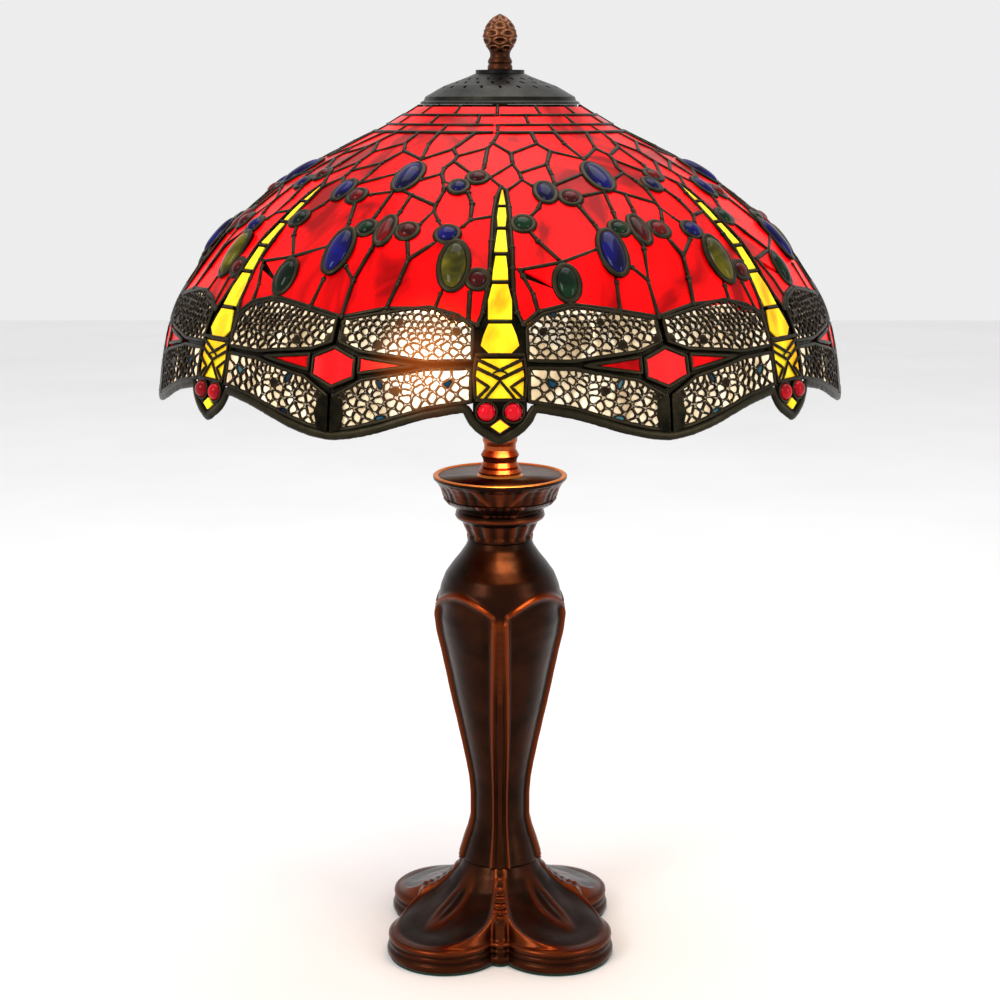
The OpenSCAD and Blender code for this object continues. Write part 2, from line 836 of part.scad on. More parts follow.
// Turns +Z into the direction of one lamp, and puts zero on the lamp axis
module along_lamp(side) {
    translate([0, 0, socket_z])
        rotate([0, 0, -90 - cluster_turn + (side < 0 ? 0 : 180)])
            rotate([0, 90, 0])
                children();
}

module cluster() {
    color([0.6, 0.45, 0.2])
        difference() {
            union() {
                translate([0, 0, socket_z - cluster_h / 2])
                    cylinder(r = cluster_r, h = cluster_h, $fn = 64);
                for (side = [-1, 1])
                    along_lamp(side)
                        cylinder(r = neck_r, h = socket_start - 0.1, $fn = 48);
            }
            translate([0, 0, socket_z - cluster_h])
                cylinder(r = bore_r, h = 2 * cluster_h, $fn = 48);
        }
}

module socket_shells() {
    color([0.75, 0.6, 0.25])
        for (side = [-1, 1])
            along_lamp(side)
                translate([0, 0, socket_start])
                    difference() {
                        cylinder(r = socket_r, h = socket_l, $fn = 64);
                        translate([0, 0, shell_t])
                            cylinder(r = socket_r - shell_t, h = socket_l, $fn = 64);
                    }
}

module socket_liners() {
    liner_r = socket_r - shell_t - liner_gap;
    color([0.9, 0.9, 0.85])
        for (side = [-1, 1])
            along_lamp(side)
                translate([0, 0, socket_start + shell_t + 0.2])
                    difference() {
                        cylinder(r = liner_r, h = socket_l - shell_t - 2, $fn = 64);
                        translate([0, 0, 2])
                            cylinder(r = liner_r - liner_t, h = socket_l, $fn = 64);
                    }
}

module socket_contacts() {
    color([0.8, 0.6, 0.2])
        for (side = [-1, 1])
            along_lamp(side)
                translate([0, 0, socket_start + shell_t + 2.3])
                    cylinder(r = 4.5, h = bulb_start - socket_start - shell_t - 2.7, $fn = 32);
}

module bulb_cap(side) {
    color([0.75, 0.75, 0.78])
        along_lamp(side)
            translate([0, 0, bulb_start]) {
                translate([0, 0, 2])
                    cylinder(r = bulb_cap_d / 2, h = bulb_cap_l - 2, $fn = 48);
                cylinder(r = 5, h = 2.1, $fn = 32);
            }
}

module bulb_glass(side) {
    r = bulb_d / 2;
    neck = bulb_cap_d / 2 - 1;
    color([1, 0.95, 0.8])
        along_lamp(side)
            translate([0, 0, bulb_start + bulb_cap_l + 0.1])
                rotate_extrude($fn = 64)
                    polygon(concat(
                        [[0, 0], [neck, 0], [neck + 1, 8]],
                        [for (t = [-40:10:90]) [r * cos(t), bulb_l - r + r * sin(t)]]
                    ));
}

module bulb_left_glass() bulb_glass(-1);
module bulb_left_cap() bulb_cap(-1);
module bulb_right_glass() bulb_glass(1);
module bulb_right_cap() bulb_cap(1);

// ---------------------------------------------------------------- stem and plate

plate_r = plate_d / 2;
plate_t = 17;
stem_r = stem_d / 2;
collar_h = 4;
stem_z = plate_z + collar_h;
stem_top = socket_z - cluster_h / 2 - 0.2;
// Turned rings at the foot of the stem: height above the collar and radius less the stem's
stem_rings = [
    [0, 0.4], [1.5, 1], [3, 0.3], [4.5, -0.5], [7, 0.2], [9, 1.3], [11, 0.2], [13, -1], [16, -1], [19, 0]
];

// A turned piece bored for the riser
module turned(outline, sides = 96) {
    low = outline[0][1];
    high = outline[len(outline) - 1][1];
    rotate_extrude($fn = sides)
        polygon(concat([[bore_r, low]], outline, [[bore_r, high]]));
}

module stem() {
    color([0.6, 0.25, 0.08])
        turned(concat([for (p = stem_rings) [stem_r + p[1], stem_z + p[0]]], [[stem_r, stem_top]]));
}

module plate_collar() {
    color([0.6, 0.25, 0.08])
        turned([
            [stem_r + 2.6, plate_z],
            [stem_r + 3, plate_z + 1.5],
            [stem_r + 2, plate_z + collar_h - 0.1]
        ]);
}

module top_plate() {
    color([0.55, 0.25, 0.08])
        turned([
            [plate_r - 7, plate_z - plate_t],
            [plate_r - 2, plate_z - plate_t + 1],
            [plate_r - 1.2, plate_z - plate_t + 4],
            [plate_r - 2, plate_z - plate_t + 6],
            [plate_r, plate_z - 8],
            [plate_r, plate_z - 3],
            [plate_r - 1.5, plate_z - 1],
            [plate_r - 3.5, plate_z - 0.5],
            [plate_r - 5, plate_z - 1.6],
            [stem_r + 6, plate_z - 0.9],
            [stem_r + 5, plate_z - 0.1]
        ]);
}

capital_z = plate_z - 46;
capital_top = plate_z - plate_t - 0.1;
capital_outline = [
    [0.5, 0], [0.47, 0.12], [0.52, 0.3], [0.55, 0.42], [0.66, 0.52], [0.67, 0.66], [0.63, 0.74], [0.7, 0.82],
    [0.8, 0.92], [0.84, 1]
];

module capital() {
    color([0.35, 0.15, 0.06])
        turned([for (p = capital_outline) [p[0] * plate_r, capital_z + p[1] * (capital_top - capital_z)]]);
}

// ---------------------------------------------------------------- column

shoulder_r = shoulder_d / 2;
waist_r = waist_d / 2;
column_top = capital_z - 0.1;
// Outline of the column: share of the height, then share of the way from waist to shoulder
column_outline = [
    [0, 0.36], [0.05, 0.22], [0.09, 0.09], [0.13, 0], [0.21, 0], [0.26, 0.04], [0.31, 0.12], [0.37, 0.24],
    [0.43, 0.36], [0.52, 0.55], [0.6, 0.7], [0.67, 0.84], [0.72, 0.95], [0.76, 1], [0.82, 0.97], [0.86, 0.89],
    [0.895, 0.76], [0.925, 0.56], [0.955, 0.33], [0.98, 0.17], [1, 0.1]
];
function column_at(p) = [waist_r + (shoulder_r - waist_r) * p[1], column_z + (column_top - column_z) * p[0]];
column_side = [for (p = column_outline) column_at(p)];

module column() {
    inner = [for (i = [len(column_side) - 2:-1:0]) column_side[i] - [cast_wall, 0]];
    color([0.22, 0.12, 0.07])
        rotate_extrude($fn = 96)
            polygon(concat(column_side, [[bore_r, column_top], [bore_r, column_top - cast_wall]], inner));
}

// A strip laid on the column between two stations of its outline, swept over part of the turn
module laid_on(first, last, low, high, width, middle) {
    side = [for (i = [first:last]) column_side[i]];
    rotate([0, 0, middle - width / 2])
        rotate_extrude(angle = width, $fn = 96)
            polygon(concat(
                [for (p = side) p + [low, 0]],
                [for (i = [len(side) - 1:-1:0]) side[i] + [high, 0]]
            ));
}

module sepals() {
    color([0.5, 0.2, 0.08])
        for (k = [0:3])
            for (step = [0:2])
                laid_on(9 + step, 13, 0.1 + step * 0.7, 0.8 + step * 0.7, 64 - step * 16, 45 + 90 * k);
}

module ribs() {
    color([0.4, 0.18, 0.08])
        for (k = [0:3])
            laid_on(1, 13, 0.1, 2.2, 9, 90 * k);
}

// ---------------------------------------------------------------- foot

foot_z = felt_t + 0.1;
// Raised bead, groove and bead up the stepped edge: height share and setback
edge_steps = [[0, 0.36, 0], [0.36, 0.66, 1.6], [0.66, 1, 0.6]];
// Mound of the foot: distance from the middle and height above the table
mound = [
    [0, 66], [25, 66], [26.5, 60], [30, 52], [37, 43], [48, 34.5], [60, 28.5], [74, 23], [86, 18.5], [100, 15]
];
mound_inner = [[0, 50], [22, 50], [34, 38], [48, 29], [60, 23.5], [74, 18], [84, 13], [92, 9]];

module lobes(r, h) {
    linear_extrude(h)
        union() {
            for (k = [0:3])
                rotate([0, 0, 45 + 90 * k])
                    translate([lobe_offset, 0])
                        circle(r = r, $fn = 72);
            circle(r = lobe_offset, $fn = 72);
            for (k = [0:3])
                rotate([0, 0, 90 * k])
                    translate([lobe_offset + 2, 0])
                        circle(r = 9 + r - lobe_r, $fn = 48);
        }
}

module foot() {
    color([0.22, 0.12, 0.07])
        difference() {
            union() {
                for (s = edge_steps)
                    translate([0, 0, foot_z + s[0] * edge_h])
                        lobes(lobe_r - s[2], (s[1] - s[0]) * edge_h);
                intersection() {
                    lobes(lobe_r - 3.2, 90);
                    rotate_extrude($fn = 96)
                        polygon(concat(mound, [[100, foot_z], [0, foot_z]]));
                }
            }
            translate([0, 0, column_z])
                cylinder(r = 40, h = 30, $fn = 96);
            intersection() {
                translate([0, 0, foot_z - 1])
                    lobes(lobe_r - cast_wall, 90);
                rotate_extrude($fn = 96)
                    polygon(concat(mound_inner, [[92, foot_z - 1], [0, foot_z - 1]]));
            }
            cylinder(r = bore_r, h = 100, $fn = 48);
            rotate([-90, 0, 0])
                translate([0, -bushing_z, 40])
                    cylinder(r = bushing_r + 0.05, h = 60, $fn = 48);
        }
}

bushing_z = foot_z + 8;
bushing_r = cord_bore / 2 + 1.5;
bushing_out = lobe_offset + 12.6;

module cord_bushing() {
    color([0.1, 0.1, 0.1])
        rotate([-90, 0, 0])
            translate([0, -bushing_z, bushing_out - 12])
                difference() {
                    union() {
                        cylinder(r = bushing_r, h = 12, $fn = 48);
                        translate([0, 0, 10.6])
                            cylinder(r = bushing_r + 1.2, h = 1.6, $fn = 48);
                    }
                    translate([0, 0, -1])
                        cylinder(r = cord_bore / 2, h = 20, $fn = 48);
                }
}

module felt_pad() {
    color([0.08, 0.2, 0.1])
        difference() {
            lobes(lobe_r - 1.5, felt_t);
            translate([0, 0, -1])
                lobes(lobe_r - cast_wall - 4, felt_t + 2);
        }
}

module cover_plate() {
    color([0.3, 0.3, 0.3])
        translate([0, 0, foot_z])
            difference() {
                lobes(lobe_r - cast_wall - 0.5, cover_t);
                translate([0, 0, -1])
                    cylinder(r = bore_r, h = 10, $fn = 48);
            }
}

weight_r = 42;
weight_h = 16;

module weight() {
    color([0.3, 0.3, 0.32])
        translate([0, 0, foot_z + cover_t + 0.1])
            difference() {
                cylinder(r = weight_r, h = weight_h, $fn = 72);
                translate([0, 0, -1])
                    cylinder(r = nut_r + 4, h = weight_h + 2, $fn = 72);
            }
}

module lower_nut() {
    color([0.7, 0.6, 0.3])
        hex_nut(foot_z + cover_t + 0.1, riser_r + 0.02, nut_r);
}

module lower_washer() {
    color([0.7, 0.7, 0.7])
        translate([0, 0, foot_z + cover_t + nut_t + 0.2])
            difference() {
                cylinder(r = nut_r + 2.5, h = 1.6, $fn = 48);
                translate([0, 0, -1])
                    cylinder(r = bore_r, h = 5, $fn = 48);
            }
}

module riser_nut() {
    color([0.7, 0.6, 0.3])
        hex_nut(socket_z + cluster_h / 2 + 0.1, riser_r + 0.02, nut_r);
}

felt_pad();
cover_plate();
weight();
foot();
cord_bushing();
lower_washer();
lower_nut();
column();
sepals();
ribs();
capital();
top_plate();
plate_collar();
stem();
riser();
riser_nut();
cluster();
socket_shells();
socket_liners();
socket_contacts();
seat_nut();
stud();
shade_seat();
bulb_left_glass();
bulb_left_cap();
bulb_right_glass();
bulb_right_cap();
cap();
cap_ring();
crown_glass();
crown_cames();
field_glass();
field_cames();
tail_glass();
thorax_glass();
wing_glass_upper();
wing_glass_lower();
filigree_upper();
filigree_lower();
filigree_thorax();
head_plates();
eyes();
head_diamonds();
triangles();
hexagons();
jewels_blue();
jewels_green();
jewels_amber();
jewels_red();
rim_wire();
finial_washer();
finial();
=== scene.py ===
"""Looks of the leaded-glass dragonfly lamp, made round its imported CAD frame. Metres, +Z up, front towards -Y."""
import math
import random

import bmesh
import bpy
import numpy as np
from mathutils import Matrix, Vector


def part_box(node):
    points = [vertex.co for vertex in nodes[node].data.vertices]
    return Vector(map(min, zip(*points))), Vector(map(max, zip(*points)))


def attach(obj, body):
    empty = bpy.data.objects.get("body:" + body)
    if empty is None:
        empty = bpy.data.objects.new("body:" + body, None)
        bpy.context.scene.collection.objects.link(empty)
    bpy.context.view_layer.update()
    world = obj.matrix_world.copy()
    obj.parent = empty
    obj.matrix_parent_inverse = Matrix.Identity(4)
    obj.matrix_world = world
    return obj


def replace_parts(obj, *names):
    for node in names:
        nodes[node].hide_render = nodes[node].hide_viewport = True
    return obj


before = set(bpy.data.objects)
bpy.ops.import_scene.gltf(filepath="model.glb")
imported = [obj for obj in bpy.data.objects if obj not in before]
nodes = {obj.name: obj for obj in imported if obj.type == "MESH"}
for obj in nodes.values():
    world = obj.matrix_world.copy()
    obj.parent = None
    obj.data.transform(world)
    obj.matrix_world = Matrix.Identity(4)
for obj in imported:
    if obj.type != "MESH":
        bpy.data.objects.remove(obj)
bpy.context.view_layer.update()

MM = 0.001
random.seed(7)

# ---------------------------------------------------------------- camera, light, floor

CAMERA_AT = (0, -1.3, 0.588)
CAMERA_PITCH = 11.7
CAMERA_LENS = 68.8


def make_camera():
    data = bpy.data.cameras.new("camera")
    data.lens = CAMERA_LENS
    data.sensor_width = 36
    camera = bpy.data.objects.new("camera", data)
    camera.location = CAMERA_AT
    camera.rotation_euler = (math.radians(90 - CAMERA_PITCH), 0, 0)
    bpy.context.scene.collection.objects.link(camera)
    bpy.context.scene.camera = camera


def softbox(name, at, size, power, target=(0, 0, 0.35), color=(1, 1, 1)):
    data = bpy.data.lights.new(name, "AREA")
    data.shape = "RECTANGLE"
    data.size, data.size_y = size
    data.energy = power
    data.color = color
    light = bpy.data.objects.new(name, data)
    light.location = at
    light.rotation_euler = (Vector(target) - Vector(at)).to_track_quat("-Z", "Y").to_euler()
    bpy.context.scene.collection.objects.link(light)


def make_studio():
    softbox("key", (-1.3, -1.5, 1.5), (0.8, 1.0), 20)
    softbox("fill", (1.6, -1.1, 0.9), (0.6, 1.1), 9)
    softbox("top", (0.1, 0.3, 2.1), (1.4, 1.4), 16)
    softbox("lamp_light", (0.03, -0.075, 0.405), (0.1, 0.05), 0.5, (0.01, -0.01, 0.335), (1, 0.74, 0.42))
    world = bpy.data.worlds.new("studio")
    world.use_nodes = True
    back = world.node_tree.nodes["Background"]
    back.inputs["Color"].default_value = (1, 1, 1, 1)
    back.inputs["Strength"].default_value = 0.85
    bpy.context.scene.world = world
    bpy.context.scene.view_settings.view_transform = "Standard"


# ---------------------------------------------------------------- materials


def linear(r, g, b):
    """A colour given as 0 to 255 on screen, in linear light."""
    def one(c):
        c /= 255
        return c / 12.92 if c <= 0.04045 else ((c + 0.055) / 1.055) ** 2.4
    return one(r), one(g), one(b), 1.0


class Shader:
    """A Principled material with a few helpers to drive it from noise and from a mesh's own values."""

    def __init__(self, name):
        self.material = bpy.data.materials.new(name)
        self.material.use_nodes = True
        self.tree = self.material.node_tree
        self.bsdf = self.tree.nodes["Principled BSDF"]
        self.where = self.tree.nodes.new("ShaderNodeTexCoord").outputs["Object"]

    def add(self, kind, **settings):
        node = self.tree.nodes.new("ShaderNode" + kind)
        for key, value in settings.items():
            setattr(node, key, value)
        return node

    def link(self, a, b):
        self.tree.links.new(a, b)

    def put(self, **values):
        for key, value in values.items():
            self.bsdf.inputs[key.replace("_", " ")].default_value = value
        return self

    def noise(self, scale, detail=3.0, distortion=0.0, stretch=None):
        node = self.add("TexNoise")
        node.inputs["Scale"].default_value = scale
        node.inputs["Detail"].default_value = detail
        node.inputs["Distortion"].default_value = distortion
        if stretch is None:
            self.link(self.where, node.inputs["Vector"])
        else:
            mapping = self.add("Mapping")
            mapping.inputs["Scale"].default_value = stretch
            self.link(self.where, mapping.inputs["Vector"])
            self.link(mapping.outputs["Vector"], node.inputs["Vector"])
        return node.outputs["Fac"]

    def value(self, name):
        return self.add("Attribute", attribute_name=name).outputs["Fac"]

    def math(self, operation, a, b=0.0, clamp=False):
        node = self.add("Math", operation=operation, use_clamp=clamp)
        for socket, item in zip(node.inputs, (a, b)):
            if isinstance(item, (int, float)):
                socket.default_value = item
            else:
                self.link(item, socket)
        return node.outputs[0]

    def ramp(self, source, stops):
        node = self.add("ValToRGB")
        ramp = node.color_ramp
        while len(ramp.elements) < len(stops):
            ramp.elements.new(0.5)
        for element, (place, color) in zip(ramp.elements, stops):
            element.position = place
            element.color = color
        self.link(source, node.inputs["Fac"])
        return node.outputs["Color"]

    def mix(self, share, a, b, blend="MIX"):
        node = self.add("Mix", data_type="RGBA", blend_type=blend)
        for socket, item in ((node.inputs[0], share), (node.inputs[6], a), (node.inputs[7], b)):
            if isinstance(item, (int, float, tuple)):
                socket.default_value = item
            else:
                self.link(item, socket)
        return node.outputs[2]

    def bump(self, height, depth, strength=0.6):
        node = self.add("Bump")
        node.inputs["Strength"].default_value = strength
        node.inputs["Distance"].default_value = depth
        self.link(height, node.inputs["Height"])
        self.link(node.outputs["Normal"], self.bsdf.inputs["Normal"])

    def rough(self, source, low, high):
        node = self.add("MapRange")
        node.inputs["To Min"].default_value = low
        node.inputs["To Max"].default_value = high
        self.link(source, node.inputs["Value"])
        self.link(node.outputs["Result"], self.bsdf.inputs["Roughness"])

    def near(self, point, radius):
        """1 at a point, falling smoothly to 0 at radius."""
        away = self.add("VectorMath", operation="DISTANCE")
        self.link(self.where, away.inputs[0])
        away.inputs[1].default_value = point
        node = self.add("MapRange", interpolation_type="SMOOTHSTEP")
        node.inputs["From Min"].default_value = 0
        node.inputs["From Max"].default_value = radius
        node.inputs["To Min"].default_value = 1
        node.inputs["To Max"].default_value = 0
        self.link(away.outputs["Value"], node.inputs["Value"])
        return node.outputs["Result"]


# The glass is brightest where a bulb stands behind it
BULB_GLOW = ((-0.043, -0.221, 0.445), (0.043, 0.221, 0.445))


def lamp_glow(s, radius, floor=0.0):
    total = s.math("ADD", s.near(BULB_GLOW[0], radius), s.near(BULB_GLOW[1], radius), clamp=True)
    return s.math("ADD", s.math("MULTIPLY", total, 1 - floor), floor)


def metal(name, dark, light, roughness=(0.3, 0.5), metallic=1.0, scale=60, depth=0.0004, tone=None, lit=None,
          painted_lamplight=None):
    s = Shader(name)
    s.put(Metallic=metallic)
    cloud = s.noise(scale, 5)
    share = s.ramp(cloud, [(0.35, (0, 0, 0, 1)), (0.75, (1, 1, 1, 1))])
    base = s.mix(share, dark, light)
    if tone:
        base = s.mix(s.value("tone"), base, tone)
    s.link(base, s.bsdf.inputs["Base Color"])
    s.rough(s.noise(scale * 2.3, 3), *roughness)
    s.bump(s.noise(scale * 4, 4), depth, 0.35)
    # Painted light: an orange glow painted onto the metal round the bright spot in front of the left bulb.
    if lit:
        glow = s.mix(s.near(BULB_GLOW[0], 0.038), (0, 0, 0, 1), lit)
        s.link(glow, s.bsdf.inputs["Emission Color"])
        s.put(Emission_Strength=1.0)
    # This colour is painted in as a glow over the whole material: painted lamplight from the bulbs above, used on the
    # top plate's copper.
    if painted_lamplight:
        s.put(Emission_Color=painted_lamplight, Emission_Strength=1.0)
    return s.material


def lit_glass(name, deep, mid, pale, glow=0.8, scale=28, coat=0.0, roughness=0.22, hot=None, floor=0.5):
    """Streaky glass with light behind it: the streaks colour both the surface and the light."""
    s = Shader(name)
    streaks = s.noise(scale, 4, 1.4, (1, 1, 0.45))
    color = s.ramp(streaks, [(0.36, deep), (0.5, mid), (0.64, pale)])
    s.link(color, s.bsdf.inputs["Base Color"])
    light = s.mix(1.0, color, s.math("MULTIPLY", lamp_glow(s, 0.34, floor), glow), "MULTIPLY")
    # Painted hot spot: the left bulb's bright spot painted onto the glass in front of it.
    if hot:
        spot = s.near(BULB_GLOW[0], 0.05)
        light = s.mix(s.math("POWER", spot, 1.6), light, hot)
    s.link(light, s.bsdf.inputs["Emission Color"])
    s.put(Emission_Strength=1.0, Coat_Weight=coat, Coat_Roughness=0.12, IOR=1.4, Specular_IOR_Level=0.08)
    s.rough(streaks, roughness * 0.7, roughness * 1.4)
    s.bump(s.noise(scale * 3, 3, 0.8), 0.0006, 0.25)
    return s.material


def jewel_glass(name, deep, bright, glow=0.25):
    s = Shader(name)
    body = s.noise(55, 3, 0.6)
    color = s.mix(s.ramp(body, [(0.4, (0, 0, 0, 1)), (0.75, (1, 1, 1, 1))]), deep, bright)
    s.link(color, s.bsdf.inputs["Base Color"])
    # The stone's glow is painted light, scaled by tone, so it is brightest at the crown.
    light = s.mix(1.0, color, s.math("MULTIPLY", s.value("tone"), glow), "MULTIPLY")
    s.link(light, s.bsdf.inputs["Emission Color"])
    s.put(Emission_Strength=1.0, Roughness=0.1, Coat_Weight=0.05, Coat_Roughness=0.04, IOR=1.4, Specular_IOR_Level=0.16)
    return s.material


def make_materials():
    dark_bronze = linear(26, 15, 10)
    brown = linear(52, 27, 16)
    copper = linear(120, 52, 22)
    return {
        "bronze": metal("bronze", dark_bronze, brown, (0.22, 0.42), tone=copper, scale=38),
        # The top plate's copper carries painted lamplight, as if lit by the bulbs above.
        "copper": metal("copper", linear(150, 84, 36), linear(206, 134, 62), (0.3, 0.46), scale=46,
                        painted_lamplight=linear(132, 80, 30)),
        "stem": metal("stem_copper", linear(120, 52, 26), linear(176, 84, 42), (0.2, 0.36), scale=50),
        "pewter": metal("pewter", linear(22, 22, 19), linear(48, 46, 38), (0.3, 0.5), tone=linear(90, 80, 56)),
        "solder": metal("solder", linear(12, 12, 8), linear(36, 32, 22), (0.3, 0.5), scale=120,
                        tone=linear(78, 70, 52), lit=linear(150, 66, 14)),
        "filigree": metal("filigree", linear(20, 15, 11), linear(46, 37, 27), (0.35, 0.55), scale=140,
                          tone=linear(70, 58, 44), lit=linear(214, 128, 56)),
        "finial": metal("finial_bronze", linear(48, 26, 18), linear(96, 54, 34), (0.3, 0.5), tone=linear(150, 98, 66)),
        "washer": metal("washer_metal", linear(24, 24, 24), linear(50, 48, 46), (0.35, 0.5)),
        "brass": metal("brass", linear(150, 112, 52), linear(196, 158, 88), (0.2, 0.35)),
        "steel": metal("steel", linear(128, 128, 130), linear(176, 176, 178), (0.3, 0.5)),
        "aluminium": metal("cap_aluminium", linear(160, 160, 164), linear(206, 206, 208), (0.2, 0.35)),
        "iron": metal("iron", linear(36, 36, 38), linear(66, 64, 64), (0.6, 0.8), scale=90),
        "rubber": metal("rubber", linear(16, 16, 16), linear(34, 34, 34), (0.6, 0.8), metallic=0.0),
        "felt": metal("felt", linear(14, 40, 24), linear(30, 62, 40), (0.9, 1.0), metallic=0.0, scale=400),
        "porcelain": metal("porcelain", linear(222, 220, 210), linear(240, 238, 230), (0.15, 0.3), metallic=0.0),
        "red": lit_glass("red_glass", linear(132, 1, 3), linear(206, 3, 5), linear(246, 8, 12), glow=0.5, scale=17,
                         hot=linear(255, 110, 50)),
        "hexagon": lit_glass("hexagon_glass", linear(205, 12, 16), linear(224, 20, 24), linear(240, 36, 38), glow=0.5),
        "yellow": lit_glass("yellow_glass", linear(232, 150, 18), linear(242, 190, 24), linear(250, 222, 40), glow=0.4,
                            floor=0.8),
        "cream": lit_glass("cream_glass", linear(190, 166, 130), linear(226, 204, 168), linear(246, 232, 206),
                           glow=0.55,
                           scale=70, hot=(1.8, 1.7, 1.5, 1), floor=0.75),
        "inlay": lit_glass("inlay_glass", linear(10, 24, 44), linear(22, 58, 78), linear(60, 96, 104), glow=0.3),
        "blue": jewel_glass("blue_jewel", linear(4, 2, 40), linear(16, 14, 104), 0.12),
        "green": jewel_glass("green_jewel", linear(3, 16, 6), linear(14, 54, 24), 0.12),
        "amber": jewel_glass("amber_jewel", linear(40, 38, 3), linear(118, 108, 14), 0.3),
        "red_jewel": jewel_glass("red_jewel", linear(44, 1, 1), linear(120, 6, 4), 0.25),
        "eye": jewel_glass("eye_glass", linear(120, 0, 10), linear(222, 10, 30), 0.3),
        "bulb": lit_glass("bulb_glass", linear(255, 214, 150), linear(255, 232, 190), linear(255, 246, 226), glow=3.0,
                          floor=1.0),
    }


# ---------------------------------------------------------------- mesh helpers


def add_mesh(name, points, faces, material, body, smooth=True, values=None):
    """A piece from points in metres. values gives one number to each point, by the name the material reads."""
    mesh = bpy.data.meshes.new(name)
    mesh.from_pydata([tuple(p) for p in points], [], faces)
    mesh.update()
    if smooth:
        mesh.polygons.foreach_set("use_smooth", [True] * len(mesh.polygons))
    for key, numbers in (values or {}).items():
        attribute = mesh.attributes.new(key, "FLOAT", "POINT")
        attribute.data.foreach_set("value", np.asarray(numbers, np.float32))
    mesh.materials.append(material)
    piece = bpy.data.objects.new(name, mesh)
    bpy.context.scene.collection.objects.link(piece)
    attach(piece, body)
    return piece


class Builder:
    """Collects many small forms into one mesh."""

    def __init__(self):
        self.points, self.faces, self.tone = [], [], []

    def rings(self, rings, tones, closed=False, cap_ends=True):
        """Skins a list of rings that all have the same number of points."""
        start, count = len(self.points), len(rings[0])
        for ring, tone in zip(rings, tones):
            self.points.extend(ring)
            self.tone.extend([tone] * count if np.isscalar(tone) else tone)
        last = len(rings) if closed else len(rings) - 1
        for i in range(last):
            a, b = start + i * count, start + (i + 1) % len(rings) * count
            for j in range(count):
                k = (j + 1) % count
                self.faces.append((a + j, b + j, b + k, a + k))
        if cap_ends and not closed:
            self.faces.append(tuple(start + j for j in range(count)))
            end = start + (len(rings) - 1) * count
            self.faces.append(tuple(end + j for j in reversed(range(count))))

    def piece(self, name, material, body, slot):
        made = add_mesh(name, self.points, self.faces, material, body, values={"tone": self.tone})
        fix_normals(made)
        return made


def fix_normals(piece):
    work = bmesh.new()
    work.from_mesh(piece.data)
    bmesh.ops.recalc_face_normals(work, faces=work.faces)
    work.to_mesh(piece.data)
    work.free()


def unit(v):
    return v / np.linalg.norm(v)


def islands(node):
    """The separate solids of a CAD node, each as its corner points in millimetres, without repeats."""
    mesh = nodes[node].data
    count = len(mesh.vertices)
    places = np.empty(count * 3)
    mesh.vertices.foreach_get("co", places)
    keys, index = np.unique(np.round(places.reshape(-1, 3) * 1e5).astype(np.int64), axis=0, return_inverse=True)
    index = index.ravel()
    parent = list(range(len(keys)))

    def root(i):
        while parent[i] != i:
            parent[i] = parent[parent[i]]
            i = parent[i]
        return i

    edges = np.empty(len(mesh.edges) * 2, np.int64)
    mesh.edges.foreach_get("vertices", edges)
    for a, b in index[edges].reshape(-1, 2):
        a, b = root(a), root(b)
        if a != b:
            parent[a] = b
    groups = {}
    for i in range(len(keys)):
        groups.setdefault(root(i), []).append(i)
    found = [keys[g] / 100 for g in groups.values()]
    return sorted(found, key=lambda g: tuple(np.round(g.mean(0), 2)))


# ---------------------------------------------------------------- dome

FLIES = 7
PITCH = 360 / FLIES
# Outline of the dome at equal steps down the slope: share of the way out, and of the height
DOME = [
    (-0.13, 1.072), (0, 1), (0.13, 0.926), (0.267, 0.86), (0.402, 0.792), (0.532, 0.717), (0.652, 0.628),
    (0.766, 0.53), (0.855, 0.411), (0.935, 0.286), (0.978, 0.146), (1, 0), (1.015, -0.147), (1.03, -0.29),
]
STATION = 26.8
cap_low, cap_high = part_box("cap")
CAP_R = cap_high[0] / MM
CAP_Z = cap_low[2] / MM
SHADE_R = 228.5
SHADE_H = 182
RIM_Z = CAP_Z - SHADE_H
BACKING_LEVEL = -2.4


def dome(s):
    """Distance from the middle and height, in mm, at s mm down the slope from the cap."""
    u = s / STATION
    i = max(0, min(int(math.floor(u)), len(DOME) - 4))
    t = u - i
    p, q, r, e = (np.array(DOME[i + k]) for k in range(4))
    share = 0.5 * (2 * q + (r - p) * t + (2 * p - 5 * q + 4 * r - e) * t * t + (3 * q - p - 3 * r + e) * t ** 3)
    return CAP_R + (SHADE_R - CAP_R) * share[0], RIM_Z + SHADE_H * share[1]


def normal(a, s):
    """Outward direction of the dome at an angle and a slope position."""
    (r0, z0), (r1, z1) = dome(s - 1), dome(s + 1)
    flat = unit(np.array([z0 - z1, r1 - r0]))
    t = math.radians(a)
    return np.array([flat[0] * math.sin(t), -flat[0] * math.cos(t), flat[1]])


def on_dome(a, s, out=0.0):
    r, z = dome(s)
    t = math.radians(a)
    return np.array([r * math.sin(t), -r * math.cos(t), z]) + normal(a, s) * out


def per_degree(s):
    return math.radians(dome(s)[0])


SLOPES = np.linspace(-5, 285, 581)
SLOPE_POINTS = np.array([dome(s) for s in SLOPES])


def pattern_place(point):
    """Angle and slope position of a point near the dome, in mm."""
    r = math.hypot(point[0], point[1])
    k = np.argmin((SLOPE_POINTS[:, 0] - r) ** 2 + (SLOPE_POINTS[:, 1] - point[2]) ** 2)
    return math.degrees(math.atan2(point[0], -point[1])), float(SLOPES[k])


def turn_points(points, angle):
    t = math.radians(angle)
    c, n = math.cos(t), math.sin(t)
    p = np.asarray(points)
    return np.column_stack([p[:, 0] * c - p[:, 1] * n, p[:, 0] * n + p[:, 1] * c, p[:, 2]])


# ---------------------------------------------------------------- solder

BEAD_SIDES = 8
GLASS_T = 2.6


